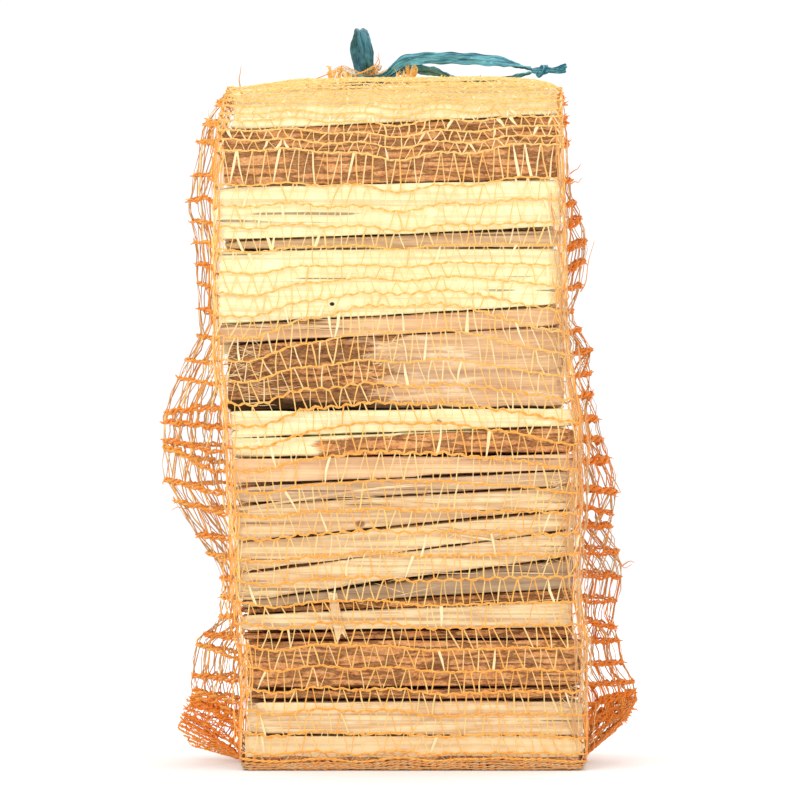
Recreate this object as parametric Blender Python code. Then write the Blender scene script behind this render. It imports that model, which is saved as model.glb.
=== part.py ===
"""A net of kindling: split softwood sticks stacked flat in a knitted net sack, closed by a flat drawstring.

Metres, +Z up. The origin is under the middle of the sack, on the surface that it stands on.
The sticks lie along X, and -Y is the front of the stack.
Sizes and tables are in millimetres, because that is how sticks are measured, and MM turns them into metres.
"""

import math
import random

import bmesh
import bpy
import numpy as np
from mathutils import Vector

MM = 0.001

# Stack: the block of sticks, without the net.
STACK_DEPTH = 150.0
STACK_BASE = 2.3
STACK_TOP = 399.4
FRONT_DEPTH = 37.0
BACK_DEPTH = 37.0
HALF_GAP = 0.35
NET_CLEARANCE = 2.2
LONGEST_STICK = 240.0
FRONT_LENGTH = 200.0
MIDDLE_STICKS = 18
BACK_STICKS = 13
FRONT_SEED, MIDDLE_SEED, BACK_SEED = 11, 126, 197

# Splits and ends are never quite square. Leans are slopes, and rooms are the least and the most.
END_LEAN, END_LEAN_ROOM, LEAST_END = 0.01, 0.012, 40.0
SPLIT_FALL, SPLIT_FALL_TURN = 0.05, 0.6
REAR_LEAN, REAR_ROOM = 0.12, (1.5, 4.0)
FACE_LEAN, FACE_CUT = 0.035, 0.3
SPLIT_LEAN_DEGREES, SPLIT_OFF_CENTRE, SPLIT_TWIST = 22.0, 0.08, 0.012
HIDDEN_END_ROOM, HIDDEN_FACE_ROOM = (3.0, 7.0), 1.5

# The top of the stack slopes down to its ends, and the net with it: (x, z) and the rise to the right.
TOP_SLOPES = [(-98.0, 392.4, 0.134), (0.0, 397.8, 0.010), (93.5, 394.8, -0.120)]

# Net sack: one knitted tube with a straight seam underneath and a drawn neck on top.
NET_DEPTH = 154.0
NET_TOP = 401.8
YARN_HALF = 0.9
YARN_DEEP = 1.6
SEAM_HALF = 3.0
BODY_ROWS = 14
FRONT_CELLS = 5
SEAM_LIFT = 8.0
EAR_LIFT = 27.0
EAR_FADE = 35.0
ROW_WAVE, ROW_WAVE_TURN = 2.0, 1.3
CROWDED_SHARE = 0.28
NECK_X, NECK_Y = -21.0, 4.0
NECK_RADIUS = 11.0
NECK_BASE, NECK_HEAD = 403.5, 408.5
FRILL_RADIUS, FRILL_TOP, FRILL_RIPPLE, FRILL_RISE = 20.0, 414.0, 0.15, 6.0
ROOF_SHARES = (0.33, 0.66)

# The upper edge of the net along the front, as (x, z).
TOP_LINE = [(-100, 394.5), (-59, 400.0), (-20, 401.0), (55, 401.8), (94, 397.0)]

# A side of the sack in plan, from front corner to back corner: (share of the depth, share of the flap).
# The net lies against the ends of the sticks, and its slack hangs out as a flap of two layers.
SIDE_STATIONS = [(-0.55, 0.03), (-0.06, 0.08), (0.0, 1.0), (0.06, 0.08), (0.55, 0.03)]
FLAP_SWAY, FLAP_SWAY_PITCH = 5.0, 37.0

# The upright corners of the sack, and the rims of the loose flaps between them, as (height, x).
LEFT_CORNER = [
    (0, -93), (60, -92), (100, -98), (200, -100.5), (235, -108), (350, -108), (380, -105), (402, -98),
]
RIGHT_CORNER = [
    (0, 108.5), (75, 108.5), (105, 104), (205, 105.5), (225, 101), (262, 96.8), (342, 95.5), (402, 93.5),
]
LEFT_FLAP = [
    (8, -124), (20, -133), (38, -125), (55, -125), (72, -122), (86, -108), (112, -107), (142, -127),
    (165, -141.5), (206, -141.5), (238, -129), (255, -120), (307, -123), (333, -127), (375, -119),
    (402, -101),
]
RIGHT_FLAP = [
    (8, 114), (20, 130), (35, 141.5), (46, 141.5), (60, 133), (90, 129), (116, 134), (140, 126), (165, 131),
    (194, 120), (229, 114), (246, 116), (264, 102), (285, 109), (307, 113), (342, 103), (402, 96),
]

# The front column of sticks from the top down: (top edge at the left end, top edge at the right end,
# left end, right end, how far the face is set back, bulge of the bark, finish).
FRONT_STICKS = [
    (395.5, 399.0, -97.0, 95.5, 0.0, 0.0, "pale_wood"),
    (371.0, 380.5, -105.0, 92.0, 0.6, 1.6, "bark_wood"),
    (338.0, 343.0, -105.5, 93.0, 0.0, 0.0, "pale_wood"),
    (307.0, 314.5, -102.0, 92.0, 6.5, 0.0, "grey_wood"),
    (301.5, 303.0, -105.0, 93.0, 0.0, 0.0, "pale_wood"),
    (258.5, 270.0, -105.5, 94.0, 2.4, 0.0, "rose_wood"),
    (247.0, 258.0, -106.0, 95.5, 1.0, 1.8, "bark_wood"),
    (208.5, 210.5, -98.0, 103.5, 0.4, 0.0, "pale_wood"),
    (192.5, 199.5, -97.0, 101.0, 1.6, 1.0, "bark_wood"),
    (181.0, 184.0, -97.0, 103.0, 0.8, 0.0, "rose_wood"),
    (165.0, 174.0, -96.0, 97.0, 2.8, 0.0, "grey_wood"),
    (153.5, 164.5, -95.0, 102.0, 0.4, 0.0, "pale_wood"),
    (131.5, 151.0, -95.0, 102.5, 1.2, 0.0, "grey_wood"),
    (113.0, 139.0, -95.5, 101.0, 0.2, 0.0, "pale_wood"),
    (96.5, 123.0, -92.0, 100.5, 3.4, 0.0, "grey_wood"),
    (93.0, 105.0, -93.0, 98.0, 8.0, 0.0, "bark_wood"),
    (89.5, 98.0, -95.5, 99.5, 1.5, 0.0, "pale_wood"),
    (80.0, 82.5, -91.0, 99.0, 7.5, 0.0, "bark_wood"),
    (75.0, 76.0, -88.5, 106.5, 1.6, 2.0, "bark_wood"),
    (46.5, 48.5, -88.0, 104.0, 4.5, 0.0, "bark_wood"),
    (40.0, 40.5, -88.5, 106.5, 0.2, 0.0, "pale_wood"),
    (20.3, 19.7, -90.5, 104.0, 0.6, 0.0, "pale_wood"),
]
HIDDEN_FINISHES = ("pale_wood", "grey_wood", "pale_wood", "rose_wood", "pale_wood", "bark_wood")

SPLINTER_OUTLINE = [
    (-42.0, 103.0), (-36.5, 102.5), (-34.0, 89.0), (-31.0, 75.5), (-34.0, 79.5), (-36.5, 72.0),
    (-39.5, 87.0),
]
SPLINTER_FRONT, SPLINTER_THICKNESS = -75.1, 0.8

# Flat drawstring tape: (x, y, z, half of its width there).
TAPE_HALF_THICK = 0.6
WRAP_HEIGHT, WRAP_GAP, WRAP_THICK, WRAP_EDGE, WRAP_STEPS = 4.2, 0.35, 1.4, 0.6, 20
LOOP_ROUTE = [
    (-23.6, 8.4, 403.4, 2.4), (-23.9, 8.9, 406.6, 2.5), (-24.6, 10.0, 409.8, 2.7), (-26.2, 12.4, 413.1, 3.4),
    (-27.6, 14.1, 417.6, 4), (-28.2, 14.2, 422.6, 4), (-27.9, 12.6, 427.6, 4), (-27.0, 9.8, 431.8, 4),
    (-25.7, 6.4, 434.3, 4), (-24.2, 2.8, 435.0, 4), (-22.6, -0.8, 433.7, 4), (-20.9, -3.8, 430.6, 4),
    (-19.5, -5.8, 426.0, 4), (-18.4, -6.7, 420.6, 4), (-17.7, -6.2, 415.6, 3.8), (-17.5, -4.4, 412.0, 3.2),
    (-17.8, -2.0, 409.4, 2.6), (-18.2, -0.8, 406.6, 2.5), (-18.4, -0.4, 403.4, 2.4),
]
UPPER_ROUTE = [
    (-15.4, -8.3, 405.7, 1.7), (-13.2, -11.2, 405.6, 1.7), (-10.6, -14.6, 405.7, 1.8),
    (-7.6, -18.6, 406.6, 2.4),
    (-4.6, -22.2, 409, 3.2), (-1.4, -25, 412, 3.8), (3.4, -27.6, 414.6, 4), (10.5, -30.2, 415.4, 4),
    (20, -33.5, 415.4, 4), (30, -37, 415, 4), (40, -40.8, 414.4, 4), (50, -44.8, 413.4, 4),
    (59, -48.4, 411.8, 3.8), (66.5, -51.6, 410.2, 3), (72.2, -54.2, 408.8, 2), (76.6, -56.4, 407.9, 1.3),
]
LOWER_ROUTE = [
    (-8.8, -1.8, 405.4, 1.6), (-6, -3.2, 406.6, 2), (-2.6, -5, 408.2, 2.6), (1.4, -7.2, 409.6, 3.2),
    (6, -9.8, 410.2, 3.8), (11, -12.8, 410.0, 4), (16.5, -16, 409.2, 4), (23, -20, 407.8, 4),
    (30, -24.6, 406.2, 4), (37.5, -29.8, 405.2, 4), (45, -35, 404.8, 4), (52, -40, 404.6, 4),
    (58.5, -45, 404.5, 3.8), (65, -49.8, 404.5, 3.2), (71, -54, 404.9, 2.2), (76, -57.3, 405.4, 1.4),
]
# The knot and its two joined tails: (x, y, z, half height, half breadth).
KNOT_ROUTE = [
    (77.4, -57.2, 406.6, 0.9, 0.9), (78.6, -57.9, 406.5, 2.8, 3.0), (81.4, -59.5, 406.4, 3.8, 4.4),
    (84.4, -61.2, 406.4, 3.7, 4.0), (86.8, -62.6, 406.6, 2.2, 2.4), (88.6, -63.6, 407.0, 1.8, 1.3),
    (92.2, -65.7, 407.4, 3.0, 1.2), (96.4, -68.1, 407.8, 3.6, 1.0),
]
KNOT_SIDES = 8
# The way the tape's width faces on each stretch.
LOOP_ACROSS, UPPER_ACROSS, LOWER_ACROSS = (0.9, 0.43, 0), (0, 0, 1), (0.5, 0.87, 0)

FINISHES = {
    "pale_wood": ((0.90, 0.74, 0.44), 0.75),
    "rose_wood": ((0.78, 0.52, 0.34), 0.75),
    "grey_wood": ((0.60, 0.47, 0.34), 0.80),
    "bark_wood": ((0.38, 0.21, 0.12), 0.90),
    "net_orange": ((0.90, 0.40, 0.07), 0.50),
    "teal_tape": ((0.04, 0.25, 0.32), 0.40),
}


def clear_scene():
    for thing in list(bpy.data.objects):
        bpy.data.objects.remove(thing)


def material(name):
    found = bpy.data.materials.get(name)
    if found:
        return found
    colour, roughness = FINISHES[name]
    made = bpy.data.materials.new(name)
    made.use_nodes = True
    shader = made.node_tree.nodes["Principled BSDF"]
    shader.inputs["Base Color"].default_value = (*colour, 1.0)
    shader.inputs["Roughness"].default_value = roughness
    shader.inputs["Metallic"].default_value = 0.0
    return made


def add_object(name, body, finish):
    """Turns a bmesh in millimetres into a named object in metres."""
    bmesh.ops.scale(body, vec=(MM, MM, MM), verts=body.verts)
    mesh = bpy.data.meshes.new(name)
    body.to_mesh(mesh)
    body.free()
    mesh.materials.append(material(finish))
    made = bpy.data.objects.new(name, mesh)
    bpy.context.scene.collection.objects.link(made)
    return made


def along(profile, height):
    """The x of a profile of (height, x) points at a height."""
    heights, places = zip(*profile)
    return float(np.interp(height, heights, places))


def top_edge(x):
    """The height of the net's upper edge at a place along the front."""
    places, heights = zip(*TOP_LINE)
    return float(np.interp(x, places, heights))


def row_height(row):
    return NET_TOP * row / BODY_ROWS


def net_corner(profile, height):
    """Where the net's corner runs at a height: straight from row to row."""
    low = min(BODY_ROWS - 1, max(0, int(height / NET_TOP * BODY_ROWS)))
    share = height / NET_TOP * BODY_ROWS - low
    return (1 - share) * along(profile, row_height(low)) + share * along(profile, row_height(low + 1))


# Sticks. Each one is what is left of a box after its flat cuts.


def cut_plane(outward, through, inset=0.0):
    """A flat cut: the direction out of the wood, and how far along it the cut lies."""
    direction = Vector(outward).normalized()
    return direction, direction.dot(Vector(through)) - inset


def cleave(name, front, back, cuts, finish):
    """A stick: a long block between two depths, with all that lies outside each cut split off."""
    body = bmesh.new()
    bmesh.ops.create_cube(body, size=1.0)
    size = (LONGEST_STICK, back - front, STACK_TOP - STACK_BASE)
    bmesh.ops.scale(body, vec=size, verts=body.verts)
    middle = (0, (front + back) / 2, (STACK_TOP + STACK_BASE) / 2)
    bmesh.ops.translate(body, vec=middle, verts=body.verts)
    for outward, distance in cuts:
        everything = body.verts[:] + body.edges[:] + body.faces[:]
        bmesh.ops.bisect_plane(
            body, geom=everything, dist=1e-4, plane_co=outward * distance, plane_no=outward, clear_outer=True
        )
        bmesh.ops.holes_fill(body, edges=[edge for edge in body.edges if edge.is_boundary])
    bmesh.ops.recalc_face_normals(body, faces=body.faces)
    add_object(name, body, finish)


def top_cuts():
    return [cut_plane((-rise, 0, 1), (x, 0, z)) for x, z, rise in TOP_SLOPES]


def end_cuts(left, right, base, top, depth, rng):
    """The two sawn ends, a little out of square, and inside the net wherever the stick reaches."""
    levels = np.linspace(max(0, base), min(NET_TOP, top), 5)
    slack = END_LEAN_ROOM * max(top - base, LEAST_END)
    left = max([left] + [net_corner(LEFT_CORNER, level) + NET_CLEARANCE + slack for level in levels])
    right = min([right] + [net_corner(RIGHT_CORNER, level) - NET_CLEARANCE - slack for level in levels])
    middle = (base + top) / 2
    lean = [rng.uniform(-END_LEAN, END_LEAN) for _ in range(4)]
    return [
        cut_plane((-1, lean[0], lean[1]), (left, depth, middle)),
        cut_plane((1, lean[2], lean[3]), (right, depth, middle)),
    ]


def front_split(index):
    """The split above a front stick: its height in the middle, its rise to the right and inwards."""
    if index == len(FRONT_STICKS):
        return STACK_BASE - HALF_GAP, 0.0, 0.0
    left, right = FRONT_STICKS[index][:2]
    fall = SPLIT_FALL * math.sin(SPLIT_FALL_TURN * index)
    return (left + right) / 2, (right - left) / FRONT_LENGTH, fall


def front_sticks(rng):
    front, back = -STACK_DEPTH / 2, -STACK_DEPTH / 2 + FRONT_DEPTH
    for index, (_, _, left, right, set_back, bulge, finish) in enumerate(FRONT_STICKS):
        top, top_rise, top_fall = front_split(index)
        base, base_rise, base_fall = front_split(index + 1)
        face = front + set_back
        middle, thickness = (top + base) / 2, top - base
        cuts = [
            cut_plane((-top_rise, -top_fall, 1), (0, front, top), HALF_GAP),
            cut_plane((base_rise, base_fall, -1), (0, front, base), HALF_GAP),
            cut_plane(
                (0, 1, rng.uniform(-REAR_LEAN, REAR_LEAN)), (0, back - rng.uniform(*REAR_ROOM), middle)
            ),
        ]
        if bulge:
            slope = 4 * bulge / thickness
            for side, edge in ((1, top), (-1, base)):
                cuts.append(cut_plane((0, -1, side * slope), (0, face + bulge, edge)))
        else:
            cuts.append(cut_plane((0, -1, rng.uniform(0.0, FACE_LEAN)), (0, face + FACE_CUT, middle)))
        cuts += end_cuts(left, right, base, top, front, rng)
        if index == 0:
            cuts += top_cuts()[::2]
        cleave(f"stick_front_{index + 1:02d}", face, back - HALF_GAP, cuts, finish)


def clip(outline, outward, distance):
    """The part of a convex (y, z) outline that lies inside a line."""
    kept = []
    for start, end in zip(outline, outline[1:] + outline[:1]):
        here, there = start.dot(outward) - distance, end.dot(outward) - distance
        if here <= 0:
            kept.append(start)
        if here * there < 0:
            kept.append(start.lerp(end, here / (here - there)))
    return kept


def area(outline):
    return abs(sum(a.cross(b) for a, b in zip(outline, outline[1:] + outline[:1]))) / 2


def reach(outline):
    return max((a - b).length for a in outline for b in outline)


def splits(outline, count, rng):
    """A block's (y, z) outline, split again and again across its longer side: (outline, cuts) of each."""
    pieces = [(outline, [])]
    while len(pieces) < count:
        pieces.sort(key=lambda piece: area(piece[0]) * reach(piece[0]))
        largest, cuts = pieces.pop()
        centre = sum(largest, Vector((0, 0))) / len(largest)
        wide = max(p.x for p in largest) - min(p.x for p in largest)
        tall = max(p.y for p in largest) - min(p.y for p in largest)
        lean = math.radians(rng.uniform(-SPLIT_LEAN_DEGREES, SPLIT_LEAN_DEGREES))
        outward = Vector((math.sin(lean), math.cos(lean)))
        if wide > tall:
            outward = Vector((math.cos(lean), math.sin(lean)))
        off_centre = [rng.uniform(-SPLIT_OFF_CENTRE, SPLIT_OFF_CENTRE) for _ in range(2)]
        through = centre + Vector((off_centre[0] * wide, off_centre[1] * tall))
        twist = rng.uniform(-SPLIT_TWIST, SPLIT_TWIST)
        for side in (1, -1):
            cut = cut_plane((side * twist, side * outward.x, side * outward.y), (0, *through), HALF_GAP)
            pieces.append((clip(largest, side * outward, side * outward.dot(through)), cuts + [cut]))
    return sorted(pieces, key=lambda piece: -max(p.y for p in piece[0]))


def hidden_sticks(word, front, back, count, rng):
    """The sticks between two depths behind the front column."""
    corners = ((front, STACK_BASE), (back, STACK_BASE), (back, STACK_TOP), (front, STACK_TOP))
    block = [Vector(corner) for corner in corners]
    for index, (outline, cuts) in enumerate(splits(block, count, rng)):
        base, top = min(p.y for p in outline), max(p.y for p in outline)
        level = (base + top) / 2
        left = net_corner(LEFT_CORNER, level) + rng.uniform(*HIDDEN_END_ROOM)
        right = net_corner(RIGHT_CORNER, level) - rng.uniform(*HIDDEN_END_ROOM)
        ends = end_cuts(left, right, base, top, (front + back) / 2, rng)
        finish = HIDDEN_FINISHES[(index * 5 + count) % len(HIDDEN_FINISHES)]
        near, far = front + HALF_GAP + rng.uniform(0.0, HIDDEN_FACE_ROOM), back - HALF_GAP
        cleave(f"stick_{word}_{index + 1:02d}", near, far, cuts + ends + top_cuts(), finish)


def loose_splinter():
    """A torn-off strip of wood, forked at its lower end, held flat against the stack by the net."""
    body = bmesh.new()
    front = body.faces.new([body.verts.new((x, SPLINTER_FRONT, z)) for x, z in SPLINTER_OUTLINE])
    raised = bmesh.ops.extrude_face_region(body, geom=[front])["geom"]
    moved = [item for item in raised if isinstance(item, bmesh.types.BMVert)]
    bmesh.ops.translate(body, vec=(0, SPLINTER_THICKNESS, 0), verts=moved)
    bmesh.ops.recalc_face_normals(body, faces=body.faces)
    add_object("loose_splinter", body, "pale_wood")


# Net sack. It is a grid of points, ring over ring, whose edges become yarns.


def side_points(corner, flap, deep, base_height, lift):
    """A ring's points round one side: back along the stick ends and out round the loose flap."""
    sway = FLAP_SWAY * math.sin(base_height / FLAP_SWAY_PITCH)
    points = []
    for depth_share, flap_share in SIDE_STATIONS:
        x = corner + flap_share * (flap - corner)
        y = depth_share * deep + (sway if deep and flap_share > 0.05 else 0.0)
        points.append(Vector((x, y, base_height + lift * flap_share)))
    return points


def ring(height, deep, lift):
    """A ring of the sack: along the front, round the right side, along the back, round the left side."""
    left, right = along(LEFT_CORNER, height), along(RIGHT_CORNER, height)
    shares = [cell / FRONT_CELLS for cell in range(FRONT_CELLS + 1)]
    front = [Vector((left + share * (right - left), -deep, height)) for share in shares]
    back = [Vector((point.x, deep, height)) for point in reversed(front)]
    right_side = side_points(right, along(RIGHT_FLAP, height + lift), deep, height, lift)
    left_side = side_points(left, along(LEFT_FLAP, height + lift), deep, height, lift)
    return front + right_side + back + left_side[::-1]


def foot_ring(share):
    """A ring under the stack: share 0 is the seam, where front and back meet, and share 1 the edge."""
    return ring(0.0, NET_DEPTH / 2 * share, SEAM_LIFT + (EAR_LIFT - SEAM_LIFT) * share)


def body_ring(row):
    height = row_height(row)
    points = ring(height, NET_DEPTH / 2, EAR_LIFT * math.exp(-height / EAR_FADE))
    for place, point in enumerate(points):
        if row == BODY_ROWS:
            point.z = top_edge(point.x)
        elif row:
            point.z += ROW_WAVE * math.sin(ROW_WAVE_TURN * row + place * 4 * math.pi / len(points))
    return points


def neck_ring(radius, height, ripple=0.0):
    count = 2 * (FRONT_CELLS + 1 + len(SIDE_STATIONS))
    points = []
    for place in range(count):
        turn = -math.pi / 2 + (place - FRONT_CELLS / 2) * 2 * math.pi / count
        reach = radius * (1 + ripple * math.cos(5 * turn))
        rise = FRILL_RISE * ripple * math.sin(5 * turn + 1)
        x, y = NECK_X + reach * math.cos(turn), NECK_Y + reach * math.sin(turn)
        points.append(Vector((x, y, height + rise)))
    return points


def roof_ring(share):
    """A ring on top of the stack, share of the way in from the upper edge to the neck."""
    points = []
    for edge, neck in zip(body_ring(BODY_ROWS), neck_ring(NECK_RADIUS, NECK_BASE)):
        point = edge.lerp(neck, share)
        point.z = top_edge(point.x) + (NECK_BASE - top_edge(NECK_X)) * share**2
        points.append(point)
    return points


def open_cell(body, outer, inner, halves):
    """The halves of the four yarns round one mesh of the net: flat outside and ridged inside."""
    hole = []
    for place, vertex in enumerate(outer):
        ahead = (outer[(place + 1) % 4].co - vertex.co).normalized()
        behind = (outer[place - 1].co - vertex.co).normalized()
        sine = max(0.25, ahead.cross(behind).length)
        hole.append(body.verts.new(vertex.co + (ahead * halves[place - 1] + behind * halves[place]) / sine))
    for place in range(4):
        after = (place + 1) % 4
        body.faces.new((outer[place], outer[after], hole[after], hole[place]))
        body.faces.new((inner[place], hole[place], hole[after], inner[after]))


def yarn_halves(outer, widest_below):
    """Half the widths of the yarns below, right of, above and left of a mesh, less where they crowd."""
    low_left, low_right, high_right, high_left = (vertex.co for vertex in outer)
    across = min((low_right - low_left).length, (high_right - high_left).length)
    upright = min((high_left - low_left).length, (high_right - low_right).length)
    side = min(YARN_HALF, CROWDED_SHARE * across)
    crowded = CROWDED_SHARE * upright
    return min(widest_below, crowded), side, min(YARN_HALF, crowded), side


def net_sack():
    rings = [foot_ring(0.0), foot_ring(0.5)]
    rings += [body_ring(row) for row in range(BODY_ROWS + 1)]
    rings += [roof_ring(share) for share in ROOF_SHARES]
    rings += [neck_ring(NECK_RADIUS, NECK_BASE)]
    rings += [neck_ring(NECK_RADIUS - 1, NECK_HEAD), neck_ring(FRILL_RADIUS, FRILL_TOP, FRILL_RIPPLE)]
    around = len(rings[0])
    band = len(rings) - 3
    mouth = len(rings) - 1

    body = bmesh.new()
    outer = [[body.verts.new(point) for point in points] for points in rings]
    mirror = 2 * FRONT_CELLS + len(SIDE_STATIONS) + 1
    twins = [(mirror - place) % around for place in range(around)]
    for place, twin in enumerate(twins):
        if twin > place:
            body.verts.remove(outer[0][twin])
            outer[0][twin] = outer[0][place]
    seam_ends = [place for place, twin in enumerate(twins) if twin in (place, place + 2)]

    # A first skin of plain faces gives the direction in which each yarn is thick.
    cells = []
    for level in range(mouth):
        for place in range(around):
            after = (place + 1) % around
            cells.append((level, [(level, place), (level, after), (level + 1, after), (level + 1, place)]))
    skin = [body.faces.new([outer[row][place] for row, place in corners]) for _, corners in cells]
    body.normal_update()
    inner = {}
    for points in outer:
        for vertex in points:
            if vertex not in inner:
                inner[vertex] = body.verts.new(vertex.co - YARN_DEEP * vertex.normal)
    bmesh.ops.delete(body, geom=skin, context="FACES_ONLY")

    for level, corners in cells:
        outside = [outer[row][place] for row, place in corners]
        inside = [inner[vertex] for vertex in outside]
        at_seam_end = level == 0 and corners[0][1] in seam_ends
        if level == band or at_seam_end:
            body.faces.new(outside)
            body.faces.new(inside[::-1])
        else:
            widest_below = SEAM_HALF if level == 0 else YARN_HALF
            open_cell(body, outside, inside, yarn_halves(outside, widest_below))
    for place in range(around):
        here, there = outer[mouth][place], outer[mouth][(place + 1) % around]
        body.faces.new((here, there, inner[there], inner[here]))
    loose = [edge for edge in body.edges if not edge.link_faces]
    bmesh.ops.delete(body, geom=loose, context="EDGES")
    add_object("net_sack", body, "net_orange")


# Drawstring: a flat tape, wrapped round the neck, with a standing loop and two ends knotted together.


def swept(name, rings):
    """A closed body through rings of points."""
    body = bmesh.new()
    rows = [[body.verts.new(point) for point in points] for points in rings]
    for low, high in zip(rows, rows[1:]):
        for place in range(len(low)):
            after = (place + 1) % len(low)
            body.faces.new((low[place], low[after], high[after], high[place]))
    body.faces.new(rows[0][::-1])
    body.faces.new(rows[-1])
    bmesh.ops.recalc_face_normals(body, faces=body.faces)
    add_object(name, body, "teal_tape")


def tape(name, route, across):
    """A flat tape along a route, with its width across the given direction's plane."""
    points = [Vector(station[:3]) for station in route]
    rings = []
    for index, (point, station) in enumerate(zip(points, route)):
        before, after = points[max(0, index - 1)], points[min(len(points) - 1, index + 1)]
        tangent = (after - before).normalized()
        thick = tangent.cross(Vector(across)).normalized() * TAPE_HALF_THICK
        wide = thick.cross(tangent).normalized() * station[3]
        corners = [wide + thick, thick - wide, -wide - thick, wide - thick]
        rings.append([point + corner for corner in corners])
    swept(name, rings)


def drawstring_wrap():
    """The turn of tape that draws the neck together."""
    inside = NECK_RADIUS + WRAP_GAP
    low = NECK_BASE + (NECK_HEAD - NECK_BASE - WRAP_HEIGHT) / 2
    body = bmesh.new()
    section = []
    for radius, height in (
        (inside, low),
        (inside + WRAP_THICK, low + WRAP_EDGE),
        (inside + WRAP_THICK, low + WRAP_HEIGHT - WRAP_EDGE),
        (inside, low + WRAP_HEIGHT),
    ):
        section.append(body.verts.new((NECK_X + radius, NECK_Y, height)))
    edges = [body.edges.new((section[place - 1], section[place])) for place in range(4)]
    bmesh.ops.spin(
        body, geom=section + edges, cent=(NECK_X, NECK_Y, 0), axis=(0, 0, 1),
        angle=2 * math.pi, steps=WRAP_STEPS,
    )
    bmesh.ops.remove_doubles(body, verts=body.verts, dist=0.01)
    bmesh.ops.recalc_face_normals(body, faces=body.faces)
    add_object("drawstring_wrap", body, "teal_tape")


def drawstring_knot():
    direction = (Vector(KNOT_ROUTE[-1][:3]) - Vector(KNOT_ROUTE[0][:3])).normalized()
    breadth = direction.cross((0, 0, 1)).normalized()
    height = breadth.cross(direction)
    rings = []
    for x, y, z, tall, broad in KNOT_ROUTE:
        turns = [2 * math.pi * side / KNOT_SIDES for side in range(KNOT_SIDES)]
        centre = Vector((x, y, z))
        rings.append([centre + breadth * broad * math.cos(t) + height * tall * math.sin(t) for t in turns])
    swept("drawstring_knot", rings)


def drawstring():
    drawstring_wrap()
    tape("drawstring_loop", LOOP_ROUTE, LOOP_ACROSS)
    tape("drawstring_upper_end", UPPER_ROUTE, UPPER_ACROSS)
    tape("drawstring_lower_end", LOWER_ROUTE, LOWER_ACROSS)
    drawstring_knot()


def main():
    clear_scene()
    front, back = -STACK_DEPTH / 2 + FRONT_DEPTH, STACK_DEPTH / 2 - BACK_DEPTH
    front_sticks(random.Random(FRONT_SEED))
    hidden_sticks("middle", front, back, MIDDLE_STICKS, random.Random(MIDDLE_SEED))
    hidden_sticks("back", back, STACK_DEPTH / 2, BACK_STICKS, random.Random(BACK_SEED))
    loose_splinter()
    net_sack()
    drawstring()


main()
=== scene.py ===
"""The looks of a net of kindling: split sticks in a knitted net sack, closed by a flat drawstring.

Everything is in metres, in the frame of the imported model: +Z up, sticks along X, -Y at the front.
"""

import math

import bpy
import numpy as np
from mathutils import Matrix, Vector


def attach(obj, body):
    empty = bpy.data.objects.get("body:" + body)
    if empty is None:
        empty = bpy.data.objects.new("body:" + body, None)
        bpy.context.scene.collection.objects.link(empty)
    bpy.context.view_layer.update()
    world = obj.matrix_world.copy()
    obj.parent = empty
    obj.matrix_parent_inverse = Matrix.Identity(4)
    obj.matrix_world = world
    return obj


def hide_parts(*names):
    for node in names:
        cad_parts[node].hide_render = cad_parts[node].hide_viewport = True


bl_info = {
    "name": "Net of kindling",
    "version": (1, 0, 0),
    "blender": (4, 5, 0),
    "location": "3D View > Sidebar > Kindling",
    "description": "Dresses the packed model of a net of kindling with split wood, knitted net and drawstring",
    "category": "Object",
}

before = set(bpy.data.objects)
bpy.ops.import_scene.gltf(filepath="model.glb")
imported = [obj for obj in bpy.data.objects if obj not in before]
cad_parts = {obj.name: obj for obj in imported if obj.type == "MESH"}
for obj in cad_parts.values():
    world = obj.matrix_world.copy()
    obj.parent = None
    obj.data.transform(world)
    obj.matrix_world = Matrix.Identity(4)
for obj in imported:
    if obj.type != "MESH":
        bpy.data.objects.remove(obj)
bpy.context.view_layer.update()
MM = 0.001

# The sack's own shape, in millimetres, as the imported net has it.
HALF_DEPTH, NET_TOP = 76.3, 401.8
NECK_X, NECK_Y, NECK_RADIUS = -21.0, 4.0, 10.4
NECK_BASE, NECK_HEAD = 403.3, 408.5
FRILL_RADIUS, FRILL_TOP = 15.5, 411.0
EAR_LIFT, EAR_FADE, SEAM_LIFT = 27.0, 35.0, 8.0
SEAM_RINGS, BODY_RINGS, SHOULDER_RINGS = 9, 72, 12
SIDE_STATIONS = [(-0.55, 0.03), (-0.06, 0.08), (0.0, 1.0), (0.06, 0.08), (0.55, 0.03)]
FLAP_SWAY, FLAP_SWAY_PITCH = 5.0, 37.0
LEAST_HEIGHT = 1.1
# Its lines, in millimetres: the top edge as (x, height), and corners and flaps as (height, x).
TOP_LINE = [
    (-100, 391.5), (-96, 394), (-82, 397.3), (-59, 400.4), (-20, 401.4), (55, 401.8), (80, 400), (89, 397.5),
    (94, 392.5),
]
LEFT_CORNER = [
    (0, -90.5), (4, -92.2), (60, -92), (100, -98), (200, -100.5), (235, -108), (350, -108), (380, -105), (402, -98),
]
RIGHT_CORNER = [
    (0, 105.5), (4, 108), (75, 108.5), (105, 104), (205, 105.5), (225, 101), (262, 96.8), (342, 95.5), (402, 93.5),
]
LEFT_FLAP = [
    (8, -124), (20, -133), (38, -125), (55, -125), (72, -122), (86, -108), (112, -107), (142, -127),
    (165, -141.5), (206, -141.5), (238, -129), (255, -120), (307, -123), (333, -127), (375, -119), (402, -101),
]
RIGHT_FLAP = [
    (8, 114), (20, 130), (35, 141.5), (46, 141.5), (60, 133), (90, 129), (116, 134), (140, 126), (165, 131),
    (194, 120), (229, 114), (246, 116), (264, 102), (285, 109), (307, 113), (342, 103), (402, 96),
]

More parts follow.
